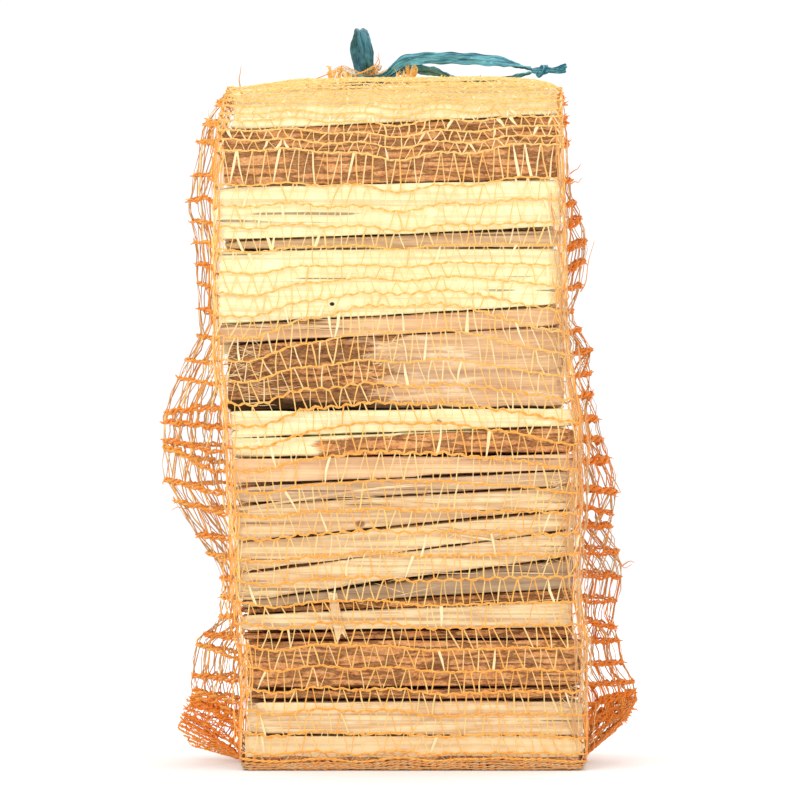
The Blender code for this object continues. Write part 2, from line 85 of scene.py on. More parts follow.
# The drawstring's routes, in millimetres: (x, y, z, half of the tape's width there).
LOOP_ROUTE = [
    (-23.4, 8.4, 403.4, 3.0), (-23.2, 8.9, 406.6, 3.2), (-23.0, 10.0, 409.8, 3.5), (-23.6, 12.4, 413.1, 3.9),
    (-24.8, 14.1, 417.6, 4), (-25.6, 14.2, 422.6, 4), (-25.4, 12.6, 427.6, 4), (-24.6, 9.8, 431.8, 3.8),
    (-23.6, 6.4, 434.3, 3.4), (-23.0, 2.8, 435.0, 3.2), (-22.4, -0.8, 433.7, 3.5), (-21.6, -3.8, 430.6, 4),
    (-20.6, -5.8, 426.0, 4), (-19.8, -6.7, 420.6, 4), (-19.2, -6.2, 415.6, 4), (-18.9, -4.4, 412.0, 4),
    (-18.7, -2.0, 409.4, 3.8), (-18.6, -0.8, 406.6, 3.4), (-18.5, -0.4, 403.4, 3.0),
]
UPPER_ROUTE = [
    (-15.4, -8.3, 405.7, 1.7), (-13.2, -11.2, 405.6, 1.7), (-10.6, -14.6, 405.7, 1.8), (-7.6, -18.6, 406.8, 2.1),
    (-4.6, -22.2, 409.4, 2.5), (-1.4, -25, 412.3, 2.9), (3.4, -27.6, 414.8, 3.3), (10.5, -30.2, 415.7, 3.5),
    (20, -33.5, 415.7, 3.5), (30, -37, 415.4, 3.5), (40, -40.8, 414.8, 3.5), (50, -44.8, 413.8, 3.5),
    (59, -48.4, 412.2, 3.5), (66.5, -51.6, 410.4, 3), (72.2, -54.2, 408.8, 2), (76.6, -56.4, 407.9, 1.3),
]
LOWER_ROUTE = [
    (-8.8, -1.8, 405.4, 1.6), (-6, -3.2, 407.0, 2), (-2.6, -5, 409.0, 2.6), (1.4, -7.2, 410.6, 3.2),
    (6, -9.8, 411.0, 3.8), (11, -12.8, 410.6, 4), (16.5, -16, 409.6, 4), (23, -20, 408.0, 4),
    (30, -24.6, 405.2, 4), (37.5, -29.8, 403.3, 4), (45, -35, 402.6, 4), (52, -40, 402.4, 4),
    (58.5, -45, 402.6, 3.8), (65, -49.8, 403.3, 3.2), (71, -54, 404.5, 2.2), (76, -57.3, 405.4, 1.4),
]
KNOT_CORE = [
    (76.8, -56.8, 406.6, 1.2), (78.6, -57.9, 406.6, 1.9), (81.0, -59.2, 406.4, 2.5), (83.8, -60.8, 406.4, 2.4),
    (86.2, -62.2, 406.6, 1.8), (88.0, -63.3, 406.9, 1.3),
]
TAIL_UP = [
    (87.2, -62.8, 406.8, 1.2), (89.4, -64.0, 407.0, 1.2), (92.0, -65.4, 407.6, 1.3), (94.6, -66.9, 408.3, 1.5),
    (96.8, -68.0, 409.0, 1.4),
]
TAIL_DOWN = [
    (87.2, -63.0, 406.2, 1.2), (89.4, -64.2, 406.0, 1.2), (92.0, -65.6, 406.0, 1.4), (94.4, -67.0, 406.2, 1.5),
    (96.4, -68.0, 406.3, 1.3),
]
# How the tape turns about itself on its way: (share of its length, radians).
LOOP_TWIST = [(0, 0), (0.25, 0.2), (0.5, 0.0), (0.8, -0.15), (1, 0)]
UPPER_TWIST = [(0, 0.3), (0.3, 0), (0.7, 0.1), (0.82, 0.7), (0.92, 1.6), (1, 1.9)]
LOWER_TWIST = [(0, 1.2), (0.25, 1.0), (0.45, 0.6), (0.6, 0.1), (1, 0)]
TAPE_WIDTH, TAPE_STEPS = 0.008, 13

# Random numbers start from these, so each run gives the same piece.
COURSE_SEED, NET_SEED, SLIVER_SEED = 29, 7, 31
TOWARDS_VIEWER = (0.0, -1.0, 0.0)
FLOOR_DROP = 0.0004
SMOOTH_WOOD, SMOOTH_TAPE = math.radians(50), math.radians(35)


# Settings.


class WoodSettings(bpy.types.PropertyGroup):
    pale: bpy.props.FloatVectorProperty(
        name="Pale wood", description="Fresh split sapwood", subtype="COLOR", size=3, default=(1.0, 0.92, 0.56)
    )
    straw: bpy.props.FloatVectorProperty(
        name="Straw wood", description="Drier split wood", subtype="COLOR", size=3, default=(0.97, 0.76, 0.44)
    )
    rose: bpy.props.FloatVectorProperty(
        name="Rose wood", description="Heartwood", subtype="COLOR", size=3, default=(0.93, 0.63, 0.35)
    )
    grey: bpy.props.FloatVectorProperty(
        name="Grey wood", description="Weathered split faces", subtype="COLOR", size=3, default=(0.84, 0.60, 0.36)
    )
    bark: bpy.props.FloatVectorProperty(
        name="Bark", description="Bark that is left on a stick", subtype="COLOR", size=3, default=(0.50, 0.20, 0.08)
    )
    front_grid: bpy.props.FloatProperty(
        name="Front grid", description="Mesh size on the front sticks", unit="LENGTH", default=0.00115
    )
    back_grid: bpy.props.FloatProperty(
        name="Back grid", description="Mesh size on the back sticks", unit="LENGTH", default=0.0014
    )
    middle_grid: bpy.props.FloatProperty(
        name="Middle grid", description="Mesh size on the hidden sticks", unit="LENGTH", default=0.0019
    )
    grain_draw: bpy.props.FloatProperty(
        name="Grain draw", description="How far the grain is drawn out along a stick", default=7.0
    )
    grain_depth: bpy.props.FloatProperty(
        name="Grain depth", description="Depth of the split grain", unit="LENGTH", default=0.0014
    )
    bark_depth: bpy.props.FloatProperty(
        name="Bark depth", description="Depth of the fissures in bark", unit="LENGTH", default=0.0015
    )


class NetSettings(bpy.types.PropertyGroup):
    orange: bpy.props.FloatVectorProperty(
        name="Orange", description="The courses of the knit", subtype="COLOR", size=3, default=(0.90, 0.28, 0.038)
    )
    cream: bpy.props.FloatVectorProperty(
        name="Cream", description="The thin tapes between them", subtype="COLOR", size=3, default=(0.98, 0.82, 0.50)
    )
    wales: bpy.props.IntProperty(name="Wales", description="Stitches round the sack", default=88)
    course_pitch: bpy.props.FloatProperty(
        name="Course pitch", description="Height of a course", unit="LENGTH", default=0.0128
    )
    strand: bpy.props.FloatProperty(
        name="Strand", description="Half the thickness of a course's strands", unit="LENGTH", default=0.0004
    )
    tape: bpy.props.FloatProperty(
        name="Tape", description="Half the width of the thin tapes", unit="LENGTH", default=0.00028
    )


class DrawstringSettings(bpy.types.PropertyGroup):
    teal: bpy.props.FloatVectorProperty(
        name="Teal", description="The drawstring's colour", subtype="COLOR", size=3, default=(0.018, 0.17, 0.225)
    )
    sheen: bpy.props.FloatVectorProperty(
        name="Sheen", description="Its lighter folds", subtype="COLOR", size=3, default=(0.20, 0.58, 0.65)
    )
    thickness: bpy.props.FloatProperty(
        name="Thickness", description="Thickness of the folded tape", unit="LENGTH", default=0.0012
    )


class StageSettings(bpy.types.PropertyGroup):
    distance: bpy.props.FloatProperty(
        name="Distance", description="From the camera to the front of the stack", unit="LENGTH", default=3.0
    )
    view_width: bpy.props.FloatProperty(
        name="View width", description="What the frame takes in at the stack's front", unit="LENGTH", default=0.464
    )
    view_height: bpy.props.FloatProperty(
        name="View height", description="Height of the camera", unit="LENGTH", default=0.2146
    )
    key_power: bpy.props.FloatProperty(name="Key light", description="Power of the front lights", default=15.0)
    surround: bpy.props.FloatProperty(name="Surround", description="Brightness of the white surround", default=1.06)


# Materials.


class Value:
    """A socket of a material, which adds its Math nodes as it is reckoned with."""

    def __init__(self, finish, socket):
        self.finish = finish
        self.socket = socket

    def reckon(self, operation, *terms):
        return self.finish.add("ShaderNodeMath", {"operation": operation}, *terms)

    def __add__(self, other):
        return self.reckon("ADD", self, other)

    __radd__ = __add__

    def __mul__(self, other):
        return self.reckon("MULTIPLY", self, other)

    __rmul__ = __mul__

    def __sub__(self, other):
        return self.reckon("SUBTRACT", self, other)

    def __rsub__(self, other):
        return self.reckon("SUBTRACT", other, self)

    def __pow__(self, other):
        return self.reckon("POWER", self, other)

    def sine(self):
        return self.reckon("SINE", self)


class Finish:
    """A material with one Principled shader, built node by node."""

    def __init__(self, name, roughness=0.6, **constants):
        self.material = bpy.data.materials.new(name)
        self.material.use_nodes = True
        self.tree = self.material.node_tree
        self.shader = self.tree.nodes["Principled BSDF"]
        self.shader.inputs["Roughness"].default_value = roughness
        for socket, value in constants.items():
            self.shader.inputs[socket.replace("_", " ")].default_value = value

    def link(self, socket, value):
        if isinstance(value, Value):
            self.tree.links.new(value.socket, socket)
        else:
            socket.default_value = (*value, 1.0) if socket.type == "RGBA" else value

    def add(self, kind, settings, *values, output=0, **named):
        """A node of a kind with its settings, then its sockets' values or links, in order or by name."""
        node = self.tree.nodes.new(kind)
        stops = settings.pop("stops", None)
        for key, value in settings.items():
            setattr(node, key, value)
        if stops:
            ramp = node.color_ramp.elements
            while len(ramp) < len(stops):
                ramp.new(0.5)
            for element, (place, colour) in zip(ramp, stops):
                element.position = place
                element.color = (*colour, 1.0)
        for socket, value in zip(node.inputs, values):
            self.link(socket, value)
        for key, value in named.items():
            self.link(node.inputs[key.replace("_", " ")], value)
        return Value(self, node.outputs[output])

    def place(self, stretch=(1, 1, 1)):
        """Object coordinates, stretched."""
        here = self.add("ShaderNodeTexCoord", {}, output=3)
        return self.add("ShaderNodeMapping", {}, Vector=here, Scale=stretch)

    def axes(self):
        """Object coordinates one by one: along the grain, inwards and upward."""
        here = self.place()
        return [self.add("ShaderNodeSeparateXYZ", {}, here, output=axis) for axis in range(3)]

    def noise(self, where, scale, detail=2.0, rough=0.5, warp=0.0):
        return self.add(
            "ShaderNodeTexNoise", {}, Vector=where, Scale=scale, Detail=detail, Roughness=rough, Distortion=warp
        )

    def grain(self, stretch, detail=2.0, rough=0.5):
        """Noise that is drawn out along a stick."""
        return self.noise(self.place(stretch), 1.0, detail, rough)

    def stops(self, factor, *stops):
        return self.add("ShaderNodeValToRGB", {"stops": list(stops)}, factor)

    def mask(self, factor, low, high):
        """0 below low and 1 above high."""
        return self.add("ShaderNodeMapRange", {"interpolation_type": "SMOOTHSTEP"}, factor, low, high, 0.0, 1.0)

    def blend(self, factor, first, second):
        mixed = self.add("ShaderNodeMix", {"data_type": "RGBA"}, output=2)
        for index, value in ((0, factor), (6, first), (7, second)):
            self.link(mixed.socket.node.inputs[index], value)
        return mixed

    def attribute(self, name):
        return self.add("ShaderNodeAttribute", {"attribute_name": name}, output=2)

    def bump(self, height, strength, distance):
        return self.add("ShaderNodeBump", {}, Strength=strength, Distance=distance, Height=height)

    def feed(self, **sockets):
        for socket, value in sockets.items():
            self.link(self.shader.inputs[socket.replace("_", " ")], value)
        return self.material


def shaded(colour, share):
    return tuple(channel * share for channel in colour)


# Colours that the woods share; the second and the fourth are painted shade, in cracks and in a pinhole.
STREAK, CRACK_SHADE, KNOT, HOLE_SHADE = (0.50, 0.33, 0.22), (0.20, 0.10, 0.05), (0.20, 0.08, 0.03), (0.03, 0.01, 0.005)
# The third is painted shade in the bark's fissures.
CORK, INNER_BARK, FISSURE_SHADE = (0.84, 0.41, 0.165), (0.88, 0.50, 0.23), (0.11, 0.036, 0.014)

# Growth rings, and marks of single sticks on the front, in metres.
RING_PITCH, END_RING_PITCH = 0.0034, 0.0026
PINHOLE_X, PINHOLE_Z, PINHOLE_RIM, FRONT_SKIN = -0.0394, 0.2703, (0.0009, 0.0013), (-0.07, -0.068)
# The second pair: heights below which the half barked stick is painted near black, as shade in the gap beneath it.
TORN_FROM_X, HALF_BARKED_SHADE_Z = (-0.018, -0.008), (0.2115, 0.2130)
WEDGE_SLOPE, WEDGE_Z, WEDGE_FROM_X = 0.055, 0.1935, (-0.052, -0.046)
# Heights below which the lowest front stick has a strip of darkened bark, standing for the shade at the stack's foot.
FOOT_BARK_SHADE_Z = (0.0068, 0.0076)


def wood_colour(finish, colour, dark, tint, contrast=1.0):
    """The colour and relief of split softwood: growth rings about a far pith, and fibres along the grain."""
    along_grain, inwards, upward = finish.axes()
    wander = finish.grain((5, 22, 22), 3.0)
    from_pith_y = inwards + (tint * 0.13 - 0.03)
    from_pith_z = upward * 0.55 + (tint * 0.4 - 0.25)
    distance = (from_pith_y * from_pith_y + from_pith_z * from_pith_z) ** 0.5
    rings = ((distance + wander * 0.022 + along_grain * 0.012) * (2 * math.pi / RING_PITCH)).sine() * 0.5 + 0.5
    late = rings**2.5
    strips = finish.grain((7, 260, 260), 3.0, 0.6)
    fibres = finish.grain((30, 1100, 1100), 3.0, 0.7)
    clouds = finish.grain((14, 45, 45), 2.0)
    base = finish.blend(late * (0.42 * contrast), colour, dark)
    base = finish.blend(finish.mask(strips, 0.46, 0.66) * (0.5 * contrast), base, dark)
    base = finish.blend(finish.mask(fibres, 0.45, 0.7) * (0.4 * contrast), base, shaded(dark, 0.7))
    streaks = finish.grain((3.5, 520, 520), 2.0, 0.5)
    base = finish.blend(finish.mask(streaks, 0.54, 0.62) * (0.42 * contrast), base, STREAK)
    base = finish.blend(finish.mask(clouds, 0.5, 0.72) * (0.35 * contrast), base, shaded(dark, 1.1))
    # Thin cracks along the grain, painted dark as the shade inside them.
    shaded_cracks = finish.mask(finish.grain((4, 330, 330), 2.0, 0.5), 0.66, 0.71)
    base = finish.blend(shaded_cracks * 0.7, base, CRACK_SHADE)
    knots = finish.add(
        "ShaderNodeTexVoronoi", {"feature": "F1"}, Vector=finish.place((13, 19, 19)), Scale=1.0, Randomness=1.0
    )
    knot = 1.0 - finish.mask(knots + wander * 0.03, 0.045, 0.065)
    base = finish.blend(knot * 0.8, base, KNOT)
    # A pinhole in one front stick, painted near black as the shade inside it.
    pin_x, pin_z = along_grain - PINHOLE_X, upward - PINHOLE_Z
    pinhole_shade = 1.0 - finish.mask((pin_x * pin_x * 0.6 + pin_z * pin_z) ** 0.5, *PINHOLE_RIM)
    pinhole_shade = pinhole_shade * (1.0 - finish.mask(inwards, *FRONT_SKIN))
    base = finish.blend(pinhole_shade, base, HOLE_SHADE)
    sawn = finish.attribute("end")
    pores = finish.grain((300, 1500, 1500), 2.0)
    end_rings = (distance * (2 * math.pi / END_RING_PITCH) + wander * 3.0).sine() * 0.5 + 0.5
    end_colour = finish.blend(end_rings * 0.6 + pores * 0.3, shaded(colour, 0.86), shaded(dark, 0.9))
    base = finish.blend(sawn * 0.85, base, end_colour)
    relief = fibres * 0.35 + late * 0.25 + strips * 0.6 - shaded_cracks * 0.8
    return base, relief


def split_wood(name, colour, dark, contrast):
    """Split softwood of one colour, with darker late wood."""
    finish = Finish(name, roughness=0.7, Specular_IOR_Level=0.2)
    base, relief = wood_colour(finish, colour, dark, finish.attribute("tint"), contrast)
    return finish.feed(Base_Color=base, Normal=finish.bump(relief, 0.8, 0.0009))


def bark_colour(finish, colour):
    """Bark: long plates with fissures between, painted dark as their shade, flaked to lighter cork and red inner bark.
    """
    plates = finish.add(
        "ShaderNodeTexVoronoi", {"feature": "DISTANCE_TO_EDGE"}, Vector=finish.place((30, 230, 230)), Scale=1.0
    )
    flakes = finish.grain((190, 380, 380), 5.0, 0.75)
    patches = finish.grain((45, 130, 130), 5.0, 0.7)
    fibres = finish.grain((16, 520, 520), 3.0, 0.6)
    crumbs = finish.grain((520, 900, 900), 2.0, 0.6)
    fissure_shade = 1.0 - finish.mask(plates + flakes * 0.22, 0.12, 0.24)
    base = finish.stops(
        flakes, (0.28, shaded(colour, 0.4)), (0.40, colour), (0.50, (0.76, 0.34, 0.125)), (0.62, (0.87, 0.47, 0.20)),
        (0.82, (0.92, 0.62, 0.34)),
    )
    base = finish.blend(finish.mask(patches, 0.50, 0.66) * 0.55, base, CORK)
    base = finish.blend((1.0 - finish.mask(patches, 0.34, 0.44)) * 0.5, base, shaded(colour, 0.4))
    base = finish.blend(finish.mask(fibres, 0.5, 0.66) * 0.45, base, INNER_BARK)
    base = finish.blend(finish.mask(crumbs, 0.52, 0.64) * 0.45, base, shaded(colour, 0.55))
    # Painted shade in the fissures.
    base = finish.blend(fissure_shade * 0.4, base, FISSURE_SHADE)
    return base, flakes * 0.7 + fibres * 0.4 - fissure_shade * 0.8


def bark(name, colour):
    """A stick that is barked all over its sides."""
    finish = Finish(name, roughness=0.9, Specular_IOR_Level=0.1)
    base, relief = bark_colour(finish, colour)
    return finish.feed(Base_Color=base, Normal=finish.bump(relief, 1.0, 0.0016))


def half_barked(name, colour, wood):
    """A stick that is barked at its left and torn open to grey-pink wood at its right, with painted shade along its
    lower edge.
    """
    finish = Finish(name, roughness=0.85, Specular_IOR_Level=0.1)
    crust, crust_relief = bark_colour(finish, shaded(colour, 0.6))
    torn, torn_relief = wood_colour(finish, wood, (0.50, 0.27, 0.15), finish.attribute("tint"), 1.0)
    scars = finish.grain((22, 150, 150), 4.0, 0.65)
    torn = finish.blend(finish.mask(scars, 0.52, 0.64) * 0.75, torn, (0.97, 0.80, 0.56))
    torn = finish.blend((1.0 - finish.mask(scars, 0.30, 0.42)) * 0.7, torn, (0.46, 0.24, 0.13))
    along_grain, _, upward = finish.axes()
    ragged = finish.grain((25, 160, 160), 3.0, 0.6)
    open_wood = finish.mask(along_grain + (ragged - 0.5) * 0.10, *TORN_FROM_X)
    base = finish.blend(finish.mask(ragged, 0.35, 0.6) * 0.5, crust, shaded(colour, 0.45))
    base = finish.blend(open_wood, base, torn)
    # Its lower edge is painted near black: painted shade in the gap beneath it.
    foot = 1.0 - finish.mask(upward + (ragged - 0.5) * 0.012 + along_grain * 0.03, *HALF_BARKED_SHADE_Z)
    base = finish.blend(foot * 0.9, base, (0.035, 0.014, 0.006))
    relief = crust_relief * (1.0 - open_wood) + torn_relief * open_wood
    return finish.feed(Base_Color=base, Normal=finish.bump(relief, 1.0, 0.0014))


def wedge_barked(name, colour, wood):
    """A pale stick whose bark is left in a wedge that opens to the right."""
    finish = Finish(name, roughness=0.85, Specular_IOR_Level=0.1)
    crust, crust_relief = bark_colour(finish, colour)
    pale, pale_relief = wood_colour(finish, wood, (0.82, 0.50, 0.22), finish.attribute("tint"), 0.5)
    along_grain, _, upward = finish.axes()
    ragged = finish.grain((25, 200, 200), 3.0, 0.6)
    edge = upward - along_grain * WEDGE_SLOPE - WEDGE_Z + (ragged - 0.5) * 0.006
    left_free = finish.mask(along_grain + (ragged - 0.5) * 0.03, *WEDGE_FROM_X)
    barked = (1.0 - finish.mask(edge, 0.0, 0.0008)) * left_free
    base = finish.blend(barked, pale, crust)
    relief = pale_relief * (1.0 - barked) + crust_relief * barked
    return finish.feed(Base_Color=base, Normal=finish.bump(relief, 1.0, 0.0014))


def foot_bark_shade(name, colour, wood):
    """A pale stick with a strip of darkened bark along its lower edge: bark, and painted shade at the stack's foot."""
    finish = Finish(name, roughness=0.75, Specular_IOR_Level=0.15)
    crust, crust_relief = bark_colour(finish, shaded(colour, 0.6))
    pale, pale_relief = wood_colour(finish, wood, (0.85, 0.55, 0.25), finish.attribute("tint"), 0.45)
    upward = finish.axes()[2]
    ragged = finish.grain((25, 200, 200), 3.0, 0.6)
    # The strip is bark, darkened, as painted shade along the stack's foot.
    barked = 1.0 - finish.mask(upward + (ragged - 0.5) * 0.004, *FOOT_BARK_SHADE_Z)
    base = finish.blend(barked, pale, crust)
    relief = pale_relief * (1.0 - barked) + crust_relief * barked
    return finish.feed(Base_Color=base, Normal=finish.bump(relief, 0.9, 0.0011))


def net_yarn(orange, cream):
    """Stretched film yarn by its tone: 0 cream and thin, 0.5 orange and bunched, 1 tan; the high tones also carry
    painted shade.
    """
    finish = Finish("knit_yarn", roughness=0.5, Specular_IOR_Level=0.3)
    tone = finish.attribute("tone")
    speckle = finish.noise(finish.place(), 900.0, 2.0)
    base = finish.stops(
        tone, (0.0, cream), (0.2, (0.95, 0.66, 0.24)), (0.34, (0.92, 0.47, 0.10)), (0.5, orange),
        (0.75, shaded(orange, 0.88)), (0.86, (0.68, 0.31, 0.09)), (1.0, (0.62, 0.42, 0.22)),
    )
    base = finish.blend(finish.mask(speckle, 0.5, 0.75) * 0.2, base, shaded(orange, 0.6))
    base = finish.blend(finish.mask(1.0 - speckle, 0.55, 0.8) * 0.35, base, cream)
    normal = finish.bump(speckle, 0.5, 0.0003)
    return finish.feed(Base_Color=base, Normal=normal)


def drawstring_tape(teal, sheen):
    """Crumpled satin tape: folds and fine lines along it, with painted highlights on the folds' crests and creases and
    painted shade in their hollows.
    """
    finish = Finish("satin_tape", roughness=0.36, Specular_IOR_Level=0.45)
    along_tape = finish.add("ShaderNodeUVMap", {"uv_map": "tape"})
    lines, folds, creases = (
        finish.noise(finish.add("ShaderNodeMapping", {}, Vector=along_tape, Scale=stretch), 1.0, *look)
        for stretch, look in (((60, 2500, 1), (2.0,)), ((70, 620, 1), (2.0, 0.5, 0.6)), ((260, 420, 1), (3.0, 0.6)))
    )
    # Painted highlight on the crests of the folds, brighter still on the creases.
    base = finish.blend(finish.mask(folds, 0.42, 0.62) * 0.65, teal, sheen)
    base = finish.blend(finish.mask(creases, 0.60, 0.70) * 0.5, base, shaded(sheen, 1.5))
    # Painted shade in the hollows of the folds.
    base = finish.blend((1.0 - finish.mask(folds, 0.34, 0.44)) * 0.8, base, shaded(teal, 0.25))
    base = finish.blend(finish.mask(lines, 0.42, 0.65) * 0.35, base, shaded(teal, 0.5))
    # Painted shade by each piece's tone: the loop is darker.
    base = finish.blend(finish.attribute("tone"), base, shaded(teal, 0.45))
    normal = finish.bump(folds * 0.8 + creases * 0.4 + lines * 0.2, 0.9, 0.0010)
    return finish.feed(Base_Color=base, Normal=normal)


def paper_white(name):
    """The stage's matt white, with the faint mottle of painted board."""
    finish = Finish(name, roughness=0.9)
    mottle = finish.noise(finish.place(), 6.0, 3.0)
    return finish.feed(Base_Color=finish.blend(mottle, (0.93, 0.93, 0.93), (0.96, 0.96, 0.96)))


# Making meshes.


def only(piece):
    """Selects one object alone and makes it active."""
    if bpy.context.mode != "OBJECT":
        bpy.ops.object.mode_set(mode="OBJECT")
    bpy.ops.object.select_all(action="DESELECT")
    piece.select_set(True)
    bpy.context.view_layer.objects.active = piece


def new_piece(name, vertices, faces, finish):
    """A new object of one finish, from points in metres and faces."""
    mesh = bpy.data.meshes.new(name)
    mesh.from_pydata(vertices, [], faces)
    mesh.materials.append(finish)
    piece = bpy.data.objects.new(name, mesh)
    bpy.context.scene.collection.objects.link(piece)
    return piece


def mark(piece, attribute, values):
    """Gives a piece a number at each of its points."""
    layer = piece.data.attributes.new(attribute, "FLOAT", "POINT")
    layer.data.foreach_set("value", np.asarray(values, np.float32))


def unit(vectors):
    """Vectors at length 1."""
    return vectors / np.maximum(np.linalg.norm(vectors, axis=-1, keepdims=True), 1e-12)


def smooth_route(route, times):
    """A route of (x, y, z, half width), in mm, with times as many points on one smooth curve, in metres."""
    knots = np.array(route, float)
    places = np.arange(len(knots))
    fine = np.linspace(0, len(knots) - 1, (len(knots) - 1) * times + 1)
    slopes = np.gradient(knots, axis=0)
    low = np.minimum(fine.astype(int), len(knots) - 2)
    part = (fine - places[low])[:, None]
    curve = (
        (2 * part**3 - 3 * part**2 + 1) * knots[low]
        + (part**3 - 2 * part**2 + part) * slopes[low]
        + (-2 * part**3 + 3 * part**2) * knots[low + 1]
        + (part**3 - part**2) * slopes[low + 1]
    )
    return curve * MM


# Net sack.


def along(profile, heights):
    """A line of (height, value) read at heights."""
    levels, places = zip(*profile)
    return np.interp(heights, levels, places)


def ring_points(height, deep, lift):
    """The corners of one ring of the sack, in mm, from the middle of its front round to the left corner."""
    left, right = along(LEFT_CORNER, height), along(RIGHT_CORNER, height)
    sides = []
    for corner, flap_line in ((right, RIGHT_FLAP), (left, LEFT_FLAP)):
        flap = along(flap_line, height + lift)
        sway = FLAP_SWAY * math.sin(height / FLAP_SWAY_PITCH) if deep else 0.0
        side = []
        for depth_share, flap_share in SIDE_STATIONS:
            y = depth_share * deep + (sway if flap_share > 0.05 else 0.0)
            side.append((corner + flap_share * (flap - corner), y, height + lift * flap_share))
        sides.append(side)
    middle = (left + right) / 2
    front = [(middle, -deep, height), (right, -deep, height)]
    back = [(right, deep, height), (middle, deep, height), (left, deep, height)]
    return np.array(front + sides[0] + back + sides[1][::-1] + [(left, -deep, height)])


def resample(points, count):
    """A closed line through points, as count points at even steps, from the first of them."""
    closed = np.vstack([points, points[:1]])
    lengths = np.concatenate([[0], np.cumsum(np.linalg.norm(np.diff(closed, axis=0), axis=1))])
    steps = np.linspace(0, lengths[-1], count, endpoint=False)
    return np.stack([np.interp(steps, lengths, closed[:, axis]) for axis in range(3)], axis=1)


def softened(line, passes):
    """A closed line with its corners rounded off."""
    for _ in range(passes):
        line = 0.5 * line + 0.25 * (np.roll(line, 1, axis=0) + np.roll(line, -1, axis=0))
    return line


def neck_ring(radius, height, count, ripple=0.0):
    """A ring round the neck, from its front, with its edge rippled."""
    turns = -math.pi / 2 + np.arange(count) * 2 * math.pi / count
    reach = radius * (1 + ripple * np.cos(5 * turns) + 0.5 * ripple * np.sin(11 * turns))
    rise = 9 * ripple * np.sin(5 * turns + 1)
    return np.stack([NECK_X + reach * np.cos(turns), NECK_Y + reach * np.sin(turns), height + rise], axis=1)


def sack_surface(count):
    """The sack from its seam to its frill: (distance up the front of each ring, its points) in mm."""
    rings, reach = [], []
    for share in np.linspace(0.0, 1.0, SEAM_RINGS)[:-1]:
        ring = ring_points(0.0, HALF_DEPTH * share, SEAM_LIFT + (EAR_LIFT - SEAM_LIFT) * share)
        rings.append(softened(resample(ring, count), 2))
        reach.append(HALF_DEPTH * share)
    for height in np.linspace(0.0, NET_TOP, BODY_RINGS):
        ring = ring_points(height, HALF_DEPTH, EAR_LIFT * math.exp(-height / EAR_FADE))
        rings.append(softened(resample(ring, count), 3))
        reach.append(HALF_DEPTH + height)
    edge = rings[-1].copy()
    edge[:, 2] = along(TOP_LINE, edge[:, 0])
    rings[-1] = edge
    neck = neck_ring(NECK_RADIUS, NECK_BASE, count)
    span = np.linalg.norm(edge[0] - neck[0])
    for share in np.linspace(0.0, 1.0, SHOULDER_RINGS)[1:]:
        ring = edge * (1 - share) + neck * share
        ring[:, 2] = along(TOP_LINE, ring[:, 0]) + 2.3 * share**2
        rings.append(ring)
        reach.append(HALF_DEPTH + NET_TOP + span * share)
    for radius, height, ripple in (
        (NECK_RADIUS - 1, NECK_HEAD, 0.0), (12.0, NECK_HEAD + 1.2, 0.12), (FRILL_RADIUS, FRILL_TOP, 0.25)
    ):
        rings.append(neck_ring(radius, height, count, ripple))
        reach.append(reach[-1] + (height - NECK_BASE if ripple == 0 else radius - 8))
    rings = np.array(rings)
    rings[:, :, 2] = np.maximum(rings[:, :, 2], LEAST_HEIGHT)
    return np.array(reach), rings


class Sack:
    """The sack's surface, to be read at any distance up the front and any place round it."""

    def __init__(self, count=704):
        self.count = count
        self.reach, self.rings = sack_surface(count)
        ahead = np.roll(self.rings, -1, axis=1) - np.roll(self.rings, 1, axis=1)
        upward = np.gradient(self.rings, axis=0)
        self.outward = unit(np.cross(ahead, upward))
        x, y, z = (self.rings[:, :, axis] for axis in range(3))
        clamped = np.clip(z, 0, NET_TOP)
        beyond = np.maximum(along(LEFT_CORNER, clamped) - x, x - along(RIGHT_CORNER, clamped))
        at_neck = (np.hypot(x - NECK_X, y - NECK_Y) < 45) & (z > NET_TOP - 5)
        # 1 in the loose flaps, a little at the neck, and 0 where the net lies on wood.
        self.slack = np.maximum(np.clip((beyond - 1.5) / 3.0, 0, 1), np.where(at_neck, 0.35, 0.0))
        # 1 on the sides, where the net is seen edge on and in several layers, and 0 on the front and back.
        self.depth = np.clip((beyond + 2.5) / 2.0, 0, 1) * (np.abs(y) < HALF_DEPTH + 1)

    def read(self, table, up, round_share):
        """A table of the surface at distances up the front (mm) and shares of the way round, in one step."""
        row = np.interp(up, self.reach, np.arange(len(self.reach)))
        place = (round_share % 1.0) * self.count
        low, left = np.minimum(row.astype(int), len(self.reach) - 2), place.astype(int) % self.count
        right = (left + 1) % self.count
        rise, run = row - low, place - np.floor(place)
        if table.ndim == 3:
            rise, run = rise[..., None], run[..., None]
        below = table[low, left] * (1 - run) + table[low, right] * run
        above = table[low + 1, left] * (1 - run) + table[low + 1, right] * run
        return below * (1 - rise) + above * rise


